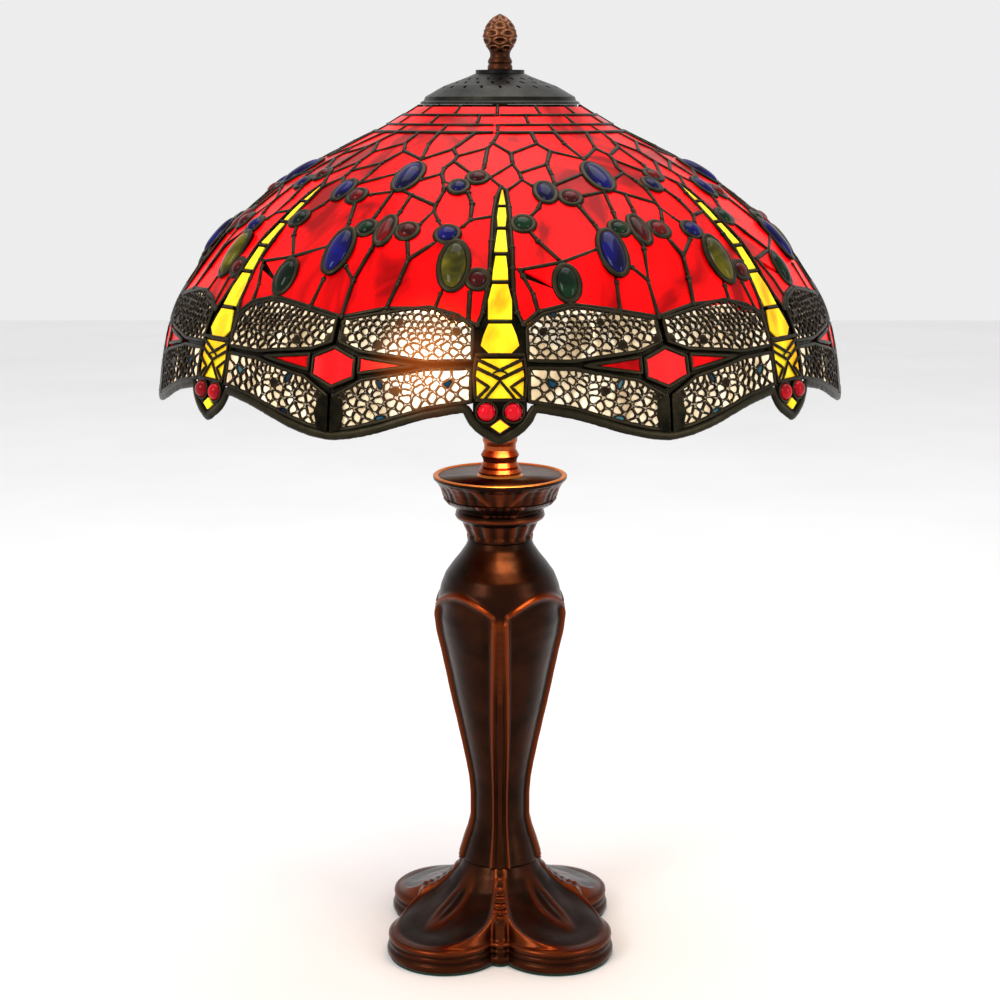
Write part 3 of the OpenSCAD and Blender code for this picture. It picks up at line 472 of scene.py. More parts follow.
def bead(out, path, normals, half, rise, sink=1.2, wobble=0.1, closed=False, tone=0.0):
    """A solder bead along a path: half wide, standing rise above it and sunk below it."""
    count = len(path)
    rings, tones = [], []
    for i, (p, n) in enumerate(zip(path, normals)):
        before = path[(i - 1) % count] if closed or i else path[0]
        after = path[(i + 1) % count] if closed or i < count - 1 else path[-1]
        side = unit(np.cross(n, after - before))
        swell = 1 + random.uniform(-wobble, wobble)
        ring, ring_tone = [], []
        for j in range(BEAD_SIDES):
            t = 2 * math.pi * j / BEAD_SIDES
            up = math.sin(t)
            ring.append((p + side * math.cos(t) * half * swell + n * up * (rise if up > 0 else sink) * swell) * MM)
            ring_tone.append(tone + max(0, up) ** 3 * 0.35)
        rings.append(ring)
        tones.append(ring_tone)
    out.rings(rings, tones, closed=closed)


def blob(out, centre, n, radius, rise, tone=0.0):
    """A low round drop of solder."""
    u = unit(np.cross(np.array([0, 0, 1.0]), n))
    v = np.cross(n, u)
    rings, tones = [], []
    for level, width in ((-1.0, 0.9), (0.0, 1.0), (0.55, 0.82), (0.88, 0.48), (1.0, 0.12)):
        ring = []
        for j in range(10):
            t = 2 * math.pi * j / 10
            ring.append((centre + (u * math.cos(t) + v * math.sin(t)) * radius * width + n * level * rise) * MM)
        rings.append(ring)
        tones.append(tone + 0.35 * max(0, level))
    out.rings(rings, tones)


CAME_TRIM = 1.8


def came_line(corners):
    """Ends of a came at the glass's outer face, from the corners of its bar, run out to the joints."""
    centre = corners.mean(0)
    a, s = pattern_place(centre)
    n = normal(a, s)
    flat = corners - centre
    flat = flat - np.outer(flat @ n, n)
    along = np.linalg.svd(flat, full_matrices=False)[2][0]
    reach = np.abs(flat @ along).max() + CAME_TRIM
    middle = centre + n * GLASS_T / 2
    return middle - along * reach, middle + along * reach


def solder_network(node, half, rise, joint):
    """Solder over each straight came of a CAD node, with a drop of it at every joint."""
    out = Builder()
    ends = []
    for corners in islands(node):
        if len(corners) > 8:
            continue
        p, q = came_line(corners)
        steps = max(3, int(np.linalg.norm(q - p) / 4))
        path, normals = [], []
        for i in range(steps + 1):
            point = p + (q - p) * i / steps
            path.append(point)
            normals.append(normal(*pattern_place(point)))
        bead(out, path, normals, half * random.uniform(0.88, 1.12), rise)
        ends += [p, q]
    joints = {}
    for p in ends:
        joints.setdefault(tuple(np.round(p / 2.5).astype(int)), []).append(p)
    for group in joints.values():
        centre = np.mean(group, axis=0)
        blob(out, centre, normal(*pattern_place(centre)), joint * random.uniform(0.85, 1.15), rise * 1.15)
    return out


def draped(points, step=2.2, out=0.0, closed=False):
    """A path on the dome through pattern points, with its normals."""
    path, normals = [], []
    count = len(points)
    for i in range(count if closed else count - 1):
        (a0, s0), (a1, s1) = points[i], points[(i + 1) % count]
        length = math.hypot((a1 - a0) * per_degree((s0 + s1) / 2), s1 - s0)
        steps = max(1, int(round(length / step)))
        for k in range(steps):
            a, s = a0 + (a1 - a0) * k / steps, s0 + (s1 - s0) * k / steps
            path.append(on_dome(a, s, out))
            normals.append(normal(a, s))
    if not closed:
        path.append(on_dome(*points[-1], out))
        normals.append(normal(*points[-1]))
    return path, normals


def shifted(points, angle):
    return [(a + angle, s) for a, s in points]


def mirrored(points):
    return [(-a, s) for a, s in reversed(points)]


# ---------------------------------------------------------------- pattern of the dragonflies

# As (degrees from the middle of the body, mm down the slope). The CAD has the same outlines, but for the upper
# wings on the left, which are its own there and the mirror image of the right ones here.

UPPER_WING = [
    (4.1, 208.5), (6.5, 200.5), (11.3, 195.8), (14.5, 197.4), (19.3, 200.8), (25, 205.3), (25, 219.5), (21.5, 224.5),
    (14.5, 227.2), (11, 229), (4.1, 228),
]
LOWER_WING = [
    (4.2, 232.2), (11, 233.2), (14.5, 236.3), (20.7, 240.9), (25, 251), (25, 270.8), (22, 268.8), (18, 264.6),
    (14.5, 260.4), (10.5, 255.5), (4.2, 251.4),
]
TRIANGLE = [(12.6, 231.6), (21.4, 227.8), (21.4, 237.2)]
HEXAGON = [(-3.55, 228.8), (0, 222.8), (3.55, 228.8), (3.55, 240), (0, 246), (-3.55, 240)]
RIM = [
    (0, 273.8), (3.1, 266.4), (4.5, 259.5), (4.7, 254.6), (7.3, 256.4), (10.7, 259), (14.5, 263.6), (18.2, 268.6),
    (22, 272.4), (25.71, 274.4),
]
CROWN_SEAMS = (2.2, 13.5, 25.6, 35.4)
TAIL_LANE = (
    [(0.3, 101.5), (-0.9, 112), (-1.5, 129.5), (-1.6, 150), (-1.8, 171.5), (-2.1, 184), (-2.7, 199), (-3.5, 207)],
    [(1.6, 105.5), (2, 121), (2.05, 137), (2.2, 155), (2.2, 170), (2.2, 184), (2.7, 199), (3.6, 206.5)],
)


def each_fly():
    return [k * PITCH for k in range(FLIES)]


def patch(out, left, right, level, rows=12, columns=6, turn=0.0):
    """A strip of dark metal on or under the glass, between two lines of pattern points."""
    def at(line, t):
        x = t * (len(line) - 1)
        i = min(int(x), len(line) - 2)
        (a0, s0), (a1, s1) = line[i], line[i + 1]
        return a0 + (a1 - a0) * (x - i), s0 + (s1 - s0) * (x - i)
    start = len(out.points)
    for i in range(rows + 1):
        (a0, s0), (a1, s1) = at(left, i / rows), at(right, i / rows)
        for j in range(columns + 1):
            t = j / columns
            out.points.append(on_dome(a0 + (a1 - a0) * t + turn, s0 + (s1 - s0) * t, level) * MM)
            out.tone.append(0.0)
    width = columns + 1
    for i in range(rows):
        for j in range(columns):
            a = start + i * width + j
            out.faces.append((a, a + 1, a + width + 1, a + width))


def make_solder(materials):
    out = solder_network("field_cames", 1.35, 0.95, 1.9)
    for turn in each_fly():
        for outline, half in ((UPPER_WING, 1.25), (mirrored(UPPER_WING), 1.25), (LOWER_WING, 1.3),
                              (mirrored(LOWER_WING), 1.3), (TRIANGLE, 1.2), (mirrored(TRIANGLE), 1.2),
                              (shifted(HEXAGON, PITCH / 2), 1.25)):
            bead(out, *draped(shifted(outline, turn), closed=True), half, 1.0, closed=True)
        for line in TAIL_LANE:
            bead(out, *draped(shifted(line, turn)), 1.2, 1.0)
        # cross bars between the tail's segments
        for s in (120, 139.2, 159.8, 179, 204.5):
            half_w = 1.5 + (s - 105) * 0.045
            lean = 0.55 * max(0, 180 - s) / 75
            reach = half_w / per_degree(s)
            bead(out, *draped([(lean - reach + turn, s), (lean + reach + turn, s)], 1.0), 0.95, 0.9, 1.5)
    out.piece("solder_lines", materials["solder"], "shade", "solder")
    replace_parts(bpy.data.objects["solder_lines"], "field_cames")

    web = Builder()
    for turn in each_fly():
        # inside the thickness of the field glass, where it shuts the gaps beside the jewels
        left, right = ([(a, 40), (a, 192)] for a in (-PITCH / 2, PITCH / 2))
        patch(web, left, right, BACKING_LEVEL, 60, 24, turn)
        patch(web, TAIL_LANE[0], TAIL_LANE[1], -0.9, 40, 4, turn)
        patch(web, [(-4.2, 205), (-4.6, 231), (-4.4, 252)], [(4.2, 205), (4.6, 231), (4.4, 252)], -0.9, 16, 6, turn)
        for left, right in (([(3.9, 226), (3.9, 234)], [(15, 225.5), (15, 237)]),
                            ([(15, 225.5), (15, 237)], [(25.71, 217), (25.71, 252)]),
                            ([(24, 200), (24, 272.5)], [(25.71, 203), (25.71, 273.5)])):
            patch(web, left, right, -2.0, 10, 6, turn)
            patch(web, [(-a, s) for a, s in left], [(-a, s) for a, s in right], -2.0, 10, 6, turn)
        # smooth scrolls over the tips of the lower wings
        tip = (
            [(24.4, 250), (23.5, 256), (23.2, 262), (23.8, 270.6)],
            [(25.5, 252.5), (25.5, 259), (25.5, 266), (25.5, 272.8)],
        )
        patch(web, *tip, 1.3, 10, 6, turn)
        patch(web, *([(-a, s) for a, s in side] for side in tip), 1.3, 10, 6, turn)
    web.piece("lead_backing", materials["solder"], "shade", "solder")


def make_crown(materials):
    out = solder_network("crown_cames", 1.0, 0.8, 1.4)
    for s, half in zip(CROWN_SEAMS[1:], (1.2, 1.2, 1.5)):
        bead(out, *draped([(a, s) for a in range(0, 360, 3)], closed=True), half, 1.0, closed=True)
    out.piece("crown_lines", materials["solder"], "shade", "solder")
    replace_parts(bpy.data.objects["crown_lines"], "crown_cames")


# ---------------------------------------------------------------- filigree

WEB = 0.78


def clip(polygon, point, direction):
    """The part of a polygon on the side of a line that direction points away from."""
    made = []
    for i, p in enumerate(polygon):
        q = polygon[(i + 1) % len(polygon)]
        a, b = (p - point) @ direction, (q - point) @ direction
        if a <= 0:
            made.append(p)
        if a * b < 0:
            made.append(p + (q - p) * a / (a - b))
    return made


def cells_of(outline, seeds):
    """Divides an outline into one cell round each seed."""
    seeds = np.array(seeds)
    made = []
    for i, seed in enumerate(seeds):
        order = np.argsort(np.hypot(*(seeds - seed).T))[1:20]
        cell = list(outline)
        for j in order:
            cell = clip(cell, (seed + seeds[j]) / 2, seeds[j] - seed)
            if len(cell) < 3:
                break
        if len(cell) >= 3:
            made.append((seed, np.array(cell)))
    return made


def inside(outline, p):
    odd = False
    for i, a in enumerate(outline):
        b = outline[(i + 1) % len(outline)]
        if (a[1] > p[1]) != (b[1] > p[1]) and p[0] < (b[0] - a[0]) * (p[1] - a[1]) / (b[1] - a[1]) + a[0]:
            odd = not odd
    return odd


def wing_seeds(outline, rows_from, long_step, row_step, small_step, lower_edge):
    """Small jittered cells over the upper part of a wing, and rows of long ones along its lower edge."""
    low, high = outline.min(0), outline.max(0)
    seeds = []
    row = 0
    while row * row_step < rows_from:
        x = low[0] + (row % 2) * long_step / 2
        while x < high[0]:
            y = lower_edge(x) - 1.6 - row * row_step
            p = np.array([x + random.uniform(-0.9, 0.9), y + random.uniform(-0.2, 0.2)])
            if inside(outline, p):
                seeds.append(p)
            x += long_step * random.uniform(0.8, 1.2)
        row += 1
    y = low[1]
    odd = 0
    while y < high[1]:
        x = low[0] + (odd % 2) * small_step / 2
        while x < high[0]:
            p = np.array([x + random.uniform(-1.4, 1.4), y + random.uniform(-1.2, 1.2)])
            if inside(outline, p) and p[1] < lower_edge(p[0]) - 1.6 - (row - 0.4) * row_step:
                seeds.append(p)
            x += small_step
        y += small_step * 0.82
        odd += 1
    return seeds


def wire_cell(out, fills, seed, cell, place, hole):
    """One cell of the filigree: wire that is highest along the cell's edge and falls to the hole."""
    centre = cell.mean(0)
    sides = 14
    outer, inner = [], []
    for j in range(sides):
        t = 2 * math.pi * j / sides
        d = np.array([math.cos(t), math.sin(t)])
        reach = 1e9
        for i, a in enumerate(cell):
            e = cell[(i + 1) % len(cell)] - a
            cross = d[0] * e[1] - d[1] * e[0]
            if abs(cross) > 1e-9:
                w = a - centre
                k = (w[0] * e[1] - w[1] * e[0]) / cross
                m = (w[0] * d[1] - w[1] * d[0]) / cross
                if k > 0 and -1e-6 <= m <= 1 + 1e-6:
                    reach = min(reach, k)
        outer.append(reach)
    reach = np.array(outer)
    soft = (np.roll(reach, 1) + 2 * reach + np.roll(reach, -1)) / 4
    gap = np.minimum(reach, soft) - WEB
    angles = [2 * math.pi * j / sides for j in range(sides)]
    directions = [np.array([math.cos(t), math.sin(t)]) for t in angles]
    levels = ((1.0, 0.95), (0.5, 0.88), (0.0, 0.5))
    solid = not hole or gap.min() < 0.25
    rings, tones = [], []
    if solid:
        for share, height in ((1.0, 0.95), (0.6, 0.8), (0.15, 0.7)):
            rings.append([place(centre + d * r * share, height) for d, r in zip(directions, reach)])
            tones.append(0.15 * share)
        out.rings(rings[::-1], tones[::-1], cap_ends=False)
        start = len(out.points) - sides * 3
        out.faces.append(tuple(start + j for j in range(sides)))
        return
    for share, height in levels:
        rings.append([place(centre + d * (g + (r - g) * share), height) for d, r, g in zip(directions, reach, gap)])
        tones.append(0.5 * share)
    rings.append([place(centre + d * g, -0.9) for d, g in zip(directions, gap)])
    tones.append(0.0)
    out.rings(rings, tones, cap_ends=False)
    if fills is not None and random.random() < 0.015:
        rings = [[place(centre + d * (g + 0.1) * share, height) for d, g in zip(directions, gap)]
                 for share, height in ((1.0, 0.15), (0.5, 0.35), (0.1, 0.4))]
        fills.rings(rings, [0, 0, 0])


def wing(points, rows_from, long_step, row_step, small_step, solid_from):
    """Unit filigree of one wing on the right, as a mesh about the front, with its coloured inlays."""
    middle = sum(s for _, s in points) / len(points)
    k = per_degree(middle)
    outline = np.array([(a * k, s) for a, s in points])
    bottom = sorted(((a * k, s) for a, s in points if s >= middle), key=lambda p: p[0])

    def lower_edge(x):
        return float(np.interp(x, [p[0] for p in bottom], [p[1] for p in bottom]))

    seeds = wing_seeds(outline, rows_from, long_step, row_step, small_step, lower_edge)
    out, fills = Builder(), Builder()
    for seed, cell in cells_of([np.array(p) for p in outline], seeds):
        if abs(np.linalg.det(np.array([cell[1] - cell[0], cell[2] - cell[0]]))) < 1e-9 and len(cell) == 3:
            continue

        def place(p, height):
            return on_dome(p[0] / k, p[1], height) * MM

        hole = seed[0] / k < solid_from and random.random() > 0.03
        wire_cell(out, fills, seed, cell, place, hole)
    return out, fills


def repeat_round(unit_parts, name, material, replaced):
    """One piece from a unit, its mirror image and their turns for each dragonfly."""
    points = np.array(unit_parts.points)
    flip = points * np.array([-1, 1, 1])
    faces = unit_parts.faces
    all_points, all_faces, tone = [], [], []
    for turn in each_fly():
        for form, reverse in ((points, False), (flip, True)):
            start = sum(len(p) for p in all_points)
            all_points.append(turn_points(form, turn))
            tone += unit_parts.tone
            for f in faces:
                f = f[::-1] if reverse else f
                all_faces.append(tuple(start + i for i in f))
    made = add_mesh(name, np.vstack(all_points), all_faces, material, "shade", values={"tone": tone})
    fix_normals(made)
    if replaced:
        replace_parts(made, replaced)
    return made


def make_filigree(materials):
    upper, upper_fill = wing(UPPER_WING, 10.5, 8.0, 3.5, 4.6, 99)
    lower, lower_fill = wing(LOWER_WING, 17, 8.8, 3.6, 4.6, 23.4)
    repeat_round(upper, "filigree_upper_wires", materials["filigree"], "filigree_upper")
    repeat_round(lower, "filigree_lower_wires", materials["filigree"], "filigree_lower")
    for fill, name in ((upper_fill, "wing_inlays_upper"), (lower_fill, "wing_inlays_lower")):
        if fill.points:
            repeat_round(fill, name, materials["inlay"], None)


def make_thorax(materials):
    """Openwork over the body: rails, crossing bars, an oval ring and a chevron of wire."""
    out = Builder()
    lines = [
        ([(-3.6, 226), (-3.9, 238), (-3.6, 250)], 0.9), ([(3.6, 226), (3.9, 238), (3.6, 250)], 0.9),
        ([(-3.5, 227), (0, 233.5), (3.5, 227)], 1.1), ([(-3.5, 232), (0, 238.5), (3.5, 232)], 1.1),
        ([(-3.6, 238), (-1.6, 243), (-3.4, 250)], 1.0), ([(3.6, 238), (1.6, 243), (3.4, 250)], 1.0),
        ([(-3.6, 250.6), (3.6, 250.6)], 1.2), ([(-2.2, 250), (0, 239.5), (2.2, 250)], 0.9),
        ([(-3.7, 224.8), (3.7, 224.8)], 1.2),
    ]
    ring = [(1.05 * math.cos(t), 236 + 2.0 * math.sin(t)) for t in np.linspace(0, 2 * math.pi, 13)[:-1]]
    for turn in each_fly():
        for line, half in lines:
            bead(out, *draped(shifted(line, turn), 1.5, 0.6), half, 0.8, 0.8)
        bead(out, *draped(shifted(ring, turn), 1.2, 0.9, closed=True), 0.6, 0.7, 0.7, closed=True)
    made = out.piece("thorax_wires", materials["filigree"], "shade", "solder")
    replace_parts(made, "filigree_thorax")


# ---------------------------------------------------------------- jewels, eyes, rim


def cabochon(out, centre, n, u, v, half_w, half_l, rise, depth=1.8, sides=36):
    rings, tones = [], []
    for level in range(-1, 10):
        t = max(0, level) / 9
        height = -depth if level < 0 else rise * math.sin(t * math.pi / 2)
        width = 1.0 if level < 0 else max(0.03, math.cos(t * math.pi / 2) ** 0.85)
        ring = []
        for j in range(sides):
            q = 2 * math.pi * j / sides
            around = u * math.cos(q) * half_w * width + v * math.sin(q) * half_l * width
            ring.append((centre + around + n * height) * MM)
        rings.append(ring)
        # tone rises from the stone's edge to its crown, where the jewel glass paints its glow brightest.
        tones.append(0.35 + 0.65 * t)
    out.rings(rings, tones)


def bezel(out, centre, n, u, v, half_w, half_l, thick=1.15):
    path, normals = [], []
    count = max(20, int((half_w + half_l) * 1.6))
    for j in range(count):
        q = 2 * math.pi * j / count
        path.append(centre + u * math.cos(q) * (half_w + 1.1) + v * math.sin(q) * (half_l + 1.1) + n * 0.2)
        normals.append(n)
    bead(out, path, normals, thick, 1.15, 1.3, 0.08, closed=True, tone=0.1)


def make_jewels(materials):
    rims = Builder()
    for node, look, slot in (("jewels_blue", "blue", "blue_jewel"), ("jewels_green", "green", "green_jewel"),
                             ("jewels_amber", "amber", "amber_jewel"), ("jewels_red", "red_jewel", "red_jewel")):
        out = Builder()
        for corners in islands(node):
            middle = (corners.min(0) + corners.max(0)) / 2
            a, s = pattern_place(middle)
            n = normal(a, s)
            u = unit(np.cross(np.array([0, 0, 1.0]), n))
            v = np.cross(n, u)
            across, up = corners @ u, corners @ v
            half_w, half_l = np.ptp(across) / 2, np.ptp(up) / 2
            centre = u * (across.max() + across.min()) / 2 + v * (up.max() + up.min()) / 2
            centre = centre + n * ((corners @ n).min() + 1.8)
            cabochon(out, centre, n, u, v, half_w, half_l, half_w * 0.6)
            bezel(rims, centre, n, u, v, half_w, half_l, 2.0)
        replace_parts(out.piece(node + "_polished", materials[look], "shade", slot), node)
    eyes = Builder()
    for corners in islands("eyes"):
        centre = (corners.min(0) + corners.max(0)) / 2
        n = normal(*pattern_place(centre))
        u = unit(np.cross(np.array([0, 0, 1.0]), n))
        v = np.cross(n, u)
        cabochon(eyes, centre + n * 0.2, n, u, v, 5.1, 5.1, 4.8, 3.5)
        bezel(rims, centre + n * 0.2, n, u, v, 4.9, 4.9, 0.9)
    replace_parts(eyes.piece("eyes_polished", materials["eye"], "shade", "red_jewel"), "eyes")
    rims.piece("bezels", materials["solder"], "shade", "solder")


def make_rim(materials):
    out = Builder()
    loop = RIM + [(PITCH - a, s) for a, s in reversed(RIM[1:-1])]
    path, normals = [], []
    for turn in each_fly():
        p, n = draped(shifted(loop + [(loop[0][0] + PITCH, loop[0][1])], turn), 2.0)
        path += p[:-1]
        normals += n[:-1]
    smooth = np.array(path)
    for _ in range(3):
        smooth = (np.roll(smooth, 1, 0) + 2 * smooth + np.roll(smooth, -1, 0)) / 4
    bead(out, list(smooth), normals, 2.8, 1.5, 1.8, 0.05, closed=True)
    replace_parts(out.piece("rim_bead", materials["solder"], "shade", "solder"), "rim_wire")


# ---------------------------------------------------------------- turned and modelled bronze


def turned_relief(name, outline, relief, material, body, slot, turns=240, steps=180, bottom=True):
    """A surface of revolution through (radius, height) points in mm, pushed outwards by relief(angle, height)."""
    outline = np.array(outline, float)
    run = np.concatenate([[0], np.cumsum(np.hypot(*np.diff(outline, axis=0).T))])
    at = np.linspace(0, run[-1], steps)
    radii, heights = np.interp(at, run, outline[:, 0]), np.interp(at, run, outline[:, 1])
    for _ in range(2):
        radii[1:-1] = (radii[:-2] + 2 * radii[1:-1] + radii[2:]) / 4
    out = Builder()
    rings, tones = [], []
    for r, z in zip(radii, heights):
        ring, tone = [], []
        for j in range(turns):
            t = 360 * j / turns
            push, bright = relief(t, z)
            q = math.radians(t)
            ring.append(((r + push) * math.cos(q) * MM, (r + push) * math.sin(q) * MM, z * MM))
            tone.append(bright)
        rings.append(ring)
        tones.append(tone)
    out.rings(rings, tones, cap_ends=bottom)
    return out.piece(name, material, body, slot)


def ease(x):
    x = max(0.0, min(1.0, x))
    return x * x * (3 - 2 * x)


def hump(x, width):
    return math.exp(-(x / width) ** 2)


def wrap(angle, step):
    """Angle from the nearest multiple of step."""
    return (angle + step / 2) % step - step / 2


column_low, column_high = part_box("column")
COLUMN_Z0, COLUMN_Z1 = column_low[2] / MM, column_high[2] / MM
SHOULDER_R = column_high[0] / MM
WAIST_R = 19.5
COLUMN = [
    (0, 0.36), (0.05, 0.22), (0.09, 0.09), (0.13, 0), (0.21, 0), (0.26, 0.04), (0.31, 0.12), (0.37, 0.24),
    (0.43, 0.36), (0.52, 0.55), (0.6, 0.7), (0.67, 0.84), (0.72, 0.95), (0.76, 1), (0.82, 0.97), (0.86, 0.89),
    (0.895, 0.76), (0.925, 0.56), (0.955, 0.33), (0.98, 0.17), (1, 0.1),
]
SEPAL_TOP, SEPAL_TIP = 251, 96


def column_relief(t, z):
    """Four long sepals that open round the shoulder, with a beaded rib between them."""
    from_sepal = wrap(t - 45, 90)
    from_rib = wrap(t, 90)
    # the sepal's arched top is highest at its middle, and its sides draw in to the tip
    arch = SEPAL_TOP - 9 + 15 * math.cos(math.radians(from_sepal * 2))
    down = (SEPAL_TOP - z) / (SEPAL_TOP - SEPAL_TIP)
    width = 39 - 7 * ease(down * 1.1)
    edge = hump(abs(from_sepal) - width, 2.4) * ease((arch - z) / 4)
    top_edge = hump(z - arch, 2.0) * ease((width + 3 - abs(from_sepal)) / 4)
    inside_sepal = ease((width - abs(from_sepal)) / 5) * ease((arch - z) / 5)
    push = 2.2 * max(edge, top_edge) - 1.8 * inside_sepal * (1 - 0.5 * ease(down))
    rib_on = ease((243 - z) / 6)
    rib = ease((5.2 - abs(from_rib)) / 2.2) * rib_on
    push += 1.5 * rib
    beads = ease((236 - z) / 4) * ease((z - 176) / 10)
    push += 0.9 * beads * hump(from_rib, 2.6) * (0.5 + 0.5 * math.cos(2 * math.pi * z / 5.2))
    scroll = hump(math.hypot(from_rib * 0.75, z - 240), 3.6)
    push += 1.3 * scroll
    line = hump(abs(from_rib) - 5.6, 1.0) * rib_on * ease((176 - z) / 20)
    push += 0.5 * line
    tone = 0.9 * max(edge, top_edge) + 0.12 * rib + 0.5 * scroll + 0.25 * beads * hump(from_rib, 2.6)
    return push, min(0.9, tone)


def make_column(materials):
    outline = [(WAIST_R + (SHOULDER_R - WAIST_R) * w, COLUMN_Z0 + (COLUMN_Z1 - COLUMN_Z0) * h) for h, w in COLUMN]
    made = turned_relief("column_relief", outline, column_relief, materials["bronze"], "stand", "bronze", 320, 260)
    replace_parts(made, "column", "sepals", "ribs")


FOOT_Z = 2.1
LOBE_AT, LOBE_R = 54, 41.5
EDGE_H = 15
TAB_AT, TAB_R = 56, 9
PLATE_T = 17
# The stepped edge, from the floor up: height above the foot's underside, setback and brightness
FOOT_EDGE = (
    (0, 0.6, 0), (0.7, 0.0, 0.1), (3.4, 0.0, 0.15), (4.9, 0.5, 0.1), (5.5, 1.7, 0), (6.3, 2.0, 0), (7.0, 1.7, 0.1),
    (8.4, 1.2, 0.15), (9.6, 1.5, 0.1), (10.2, 2.3, 0), (10.9, 2.0, 0.1), (12.6, 1.0, 0.25), (14.2, 1.2, 0.6),
    (15.2, 2.4, 0.3),
)
MOUND = [(24, 59.5), (26.5, 58), (30, 51), (37, 42.5), (48, 34.5), (60, 28.5), (74, 22.5), (86, 18), (100, 15)]


def reach_of(t, shrink):
    """How far the foot's outline is from its middle in direction t, with its edge set back by shrink."""
    best = LOBE_AT - shrink
    for at, radius, first in ((LOBE_AT, LOBE_R - shrink, 45), (TAB_AT, TAB_R - shrink, 0)):
        if radius <= 0:
            continue
        off = math.radians(wrap(t - first, 90))
        side = at * math.sin(off)
        if abs(side) < radius:
            best = max(best, at * math.cos(off) + math.sqrt(radius * radius - side * side))
    return best


def foot_height(x, y):
    r = math.hypot(x, y)
    t = math.degrees(math.atan2(y, x))
    base = float(np.interp(r, [p[0] for p in MOUND], [p[1] for p in MOUND]))
    off = math.radians(wrap(t - 45, 90))
    along, across = r * math.cos(off) - LOBE_AT, r * math.sin(off)
    q = math.hypot(along, across) / LOBE_R
    rim = hump(q - 0.88, 0.06) * ease((r - 42) / 14)
    dish = ease((0.78 - q) / 0.4)
    vein = hump(across, 2.2) * ease((along + 26) / 14) * ease((20 - along) / 20)
    tear = hump(math.hypot(along * 0.35 + 2, across) - 6.5, 1.8) * ease((28 - along) / 10)
    from_rib = wrap(t, 90)
    side = r * math.sin(math.radians(from_rib))
    strip_half = 3.2 + 3.2 * ease((r - 28) / 30)
    strip = ease((strip_half - abs(side)) / 1.6)
    strip_edge = hump(abs(side) - strip_half, 1.2) * ease((62 - r) / 3)
    beads = strip * (0.5 + 0.5 * math.cos(2 * math.pi * r / 4.6))
    fold = ease((r - 30) / 18) * hump(abs(from_rib) - 16, 9)
    height = base + 1.6 * rim - 2.0 * dish + 0.8 * vein * dish + 0.7 * tear * dish
    height += 1.6 * strip + 1.5 * strip_edge + 0.8 * beads - 1.4 * fold * (1 - strip)
    tone = 0.7 * rim + 0.6 * strip_edge + 0.3 * beads + 0.35 * tear * dish
    return height, min(0.9, tone)


def make_foot(materials):
    out = Builder()
    turns = 384
    rings, tones = [], []
    for height, shrink, tone in FOOT_EDGE:
        ring = []
        for j in range(turns):
            t = 360 * j / turns
            r = reach_of(t, shrink)
            q = math.radians(t)
            ring.append((r * math.cos(q) * MM, r * math.sin(q) * MM, (FOOT_Z + height) * MM))
        rings.append(ring)
        tones.append(tone)
    inner_r, steps = 24, 60
    for i in range(steps + 1):
        share = i / steps
        ring, tone = [], []
        for j in range(turns):
            t = 360 * j / turns
            q = math.radians(t)
            r = reach_of(t, 3.0) * (1 - share) + inner_r * share
            x, y = r * math.cos(q), r * math.sin(q)
            height, bright = foot_height(x, y)
            lift = ease(share * 9)
            ring.append((x * MM, y * MM, (height * lift + (FOOT_Z + EDGE_H + 0.6) * (1 - lift)) * MM))
            tone.append(bright * lift + 0.3 * (1 - lift))
        rings.append(ring)
        tones.append(tone)
    out.rings(rings, tones)
    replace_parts(out.piece("foot_relief", materials["bronze"], "stand", "bronze"), "foot")


def make_capital(materials):
    low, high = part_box("capital")
    z0, z1 = low[2] / MM, high[2] / MM
    r = high[0] / MM / 0.84
    outline = [(0.5, 0), (0.47, 0.12), (0.52, 0.3), (0.55, 0.42), (0.66, 0.52), (0.67, 0.66), (0.63, 0.74), (0.7, 0.82),
               (0.8, 0.92), (0.84, 1)]

    def relief(t, z):
        share = (z - z0) / (z1 - z0)
        fan = wrap(t, 90)
        leaf = wrap(t, 22.5)
        low_leaf = hump(leaf, 5.5) * ease((0.5 - share) / 0.1) * ease(share / 0.1)
        ray = (0.5 + 0.5 * math.cos(math.radians(wrap(t, 30) * 48))) * hump(fan, 26) * ease((share - 0.68) / 0.08)
        scallop = hump(abs(fan) - 18 - 14 * (share - 0.7), 2.5) * ease((share - 0.68) / 0.06)
        ring = hump(share - 0.58, 0.035)
        push = 1.2 * low_leaf + 0.8 * ray + 0.9 * scallop + 0.6 * ring
        return push - 0.3, min(0.85, 0.45 * low_leaf + 0.3 * ray + 0.55 * scallop + 0.6 * ring)

    made = turned_relief("capital_relief", [(a * r, z0 + b * (z1 - z0)) for a, b in outline], relief,
                         materials["bronze"], "stand", "bronze", 288, 110)
    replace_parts(made, "capital")


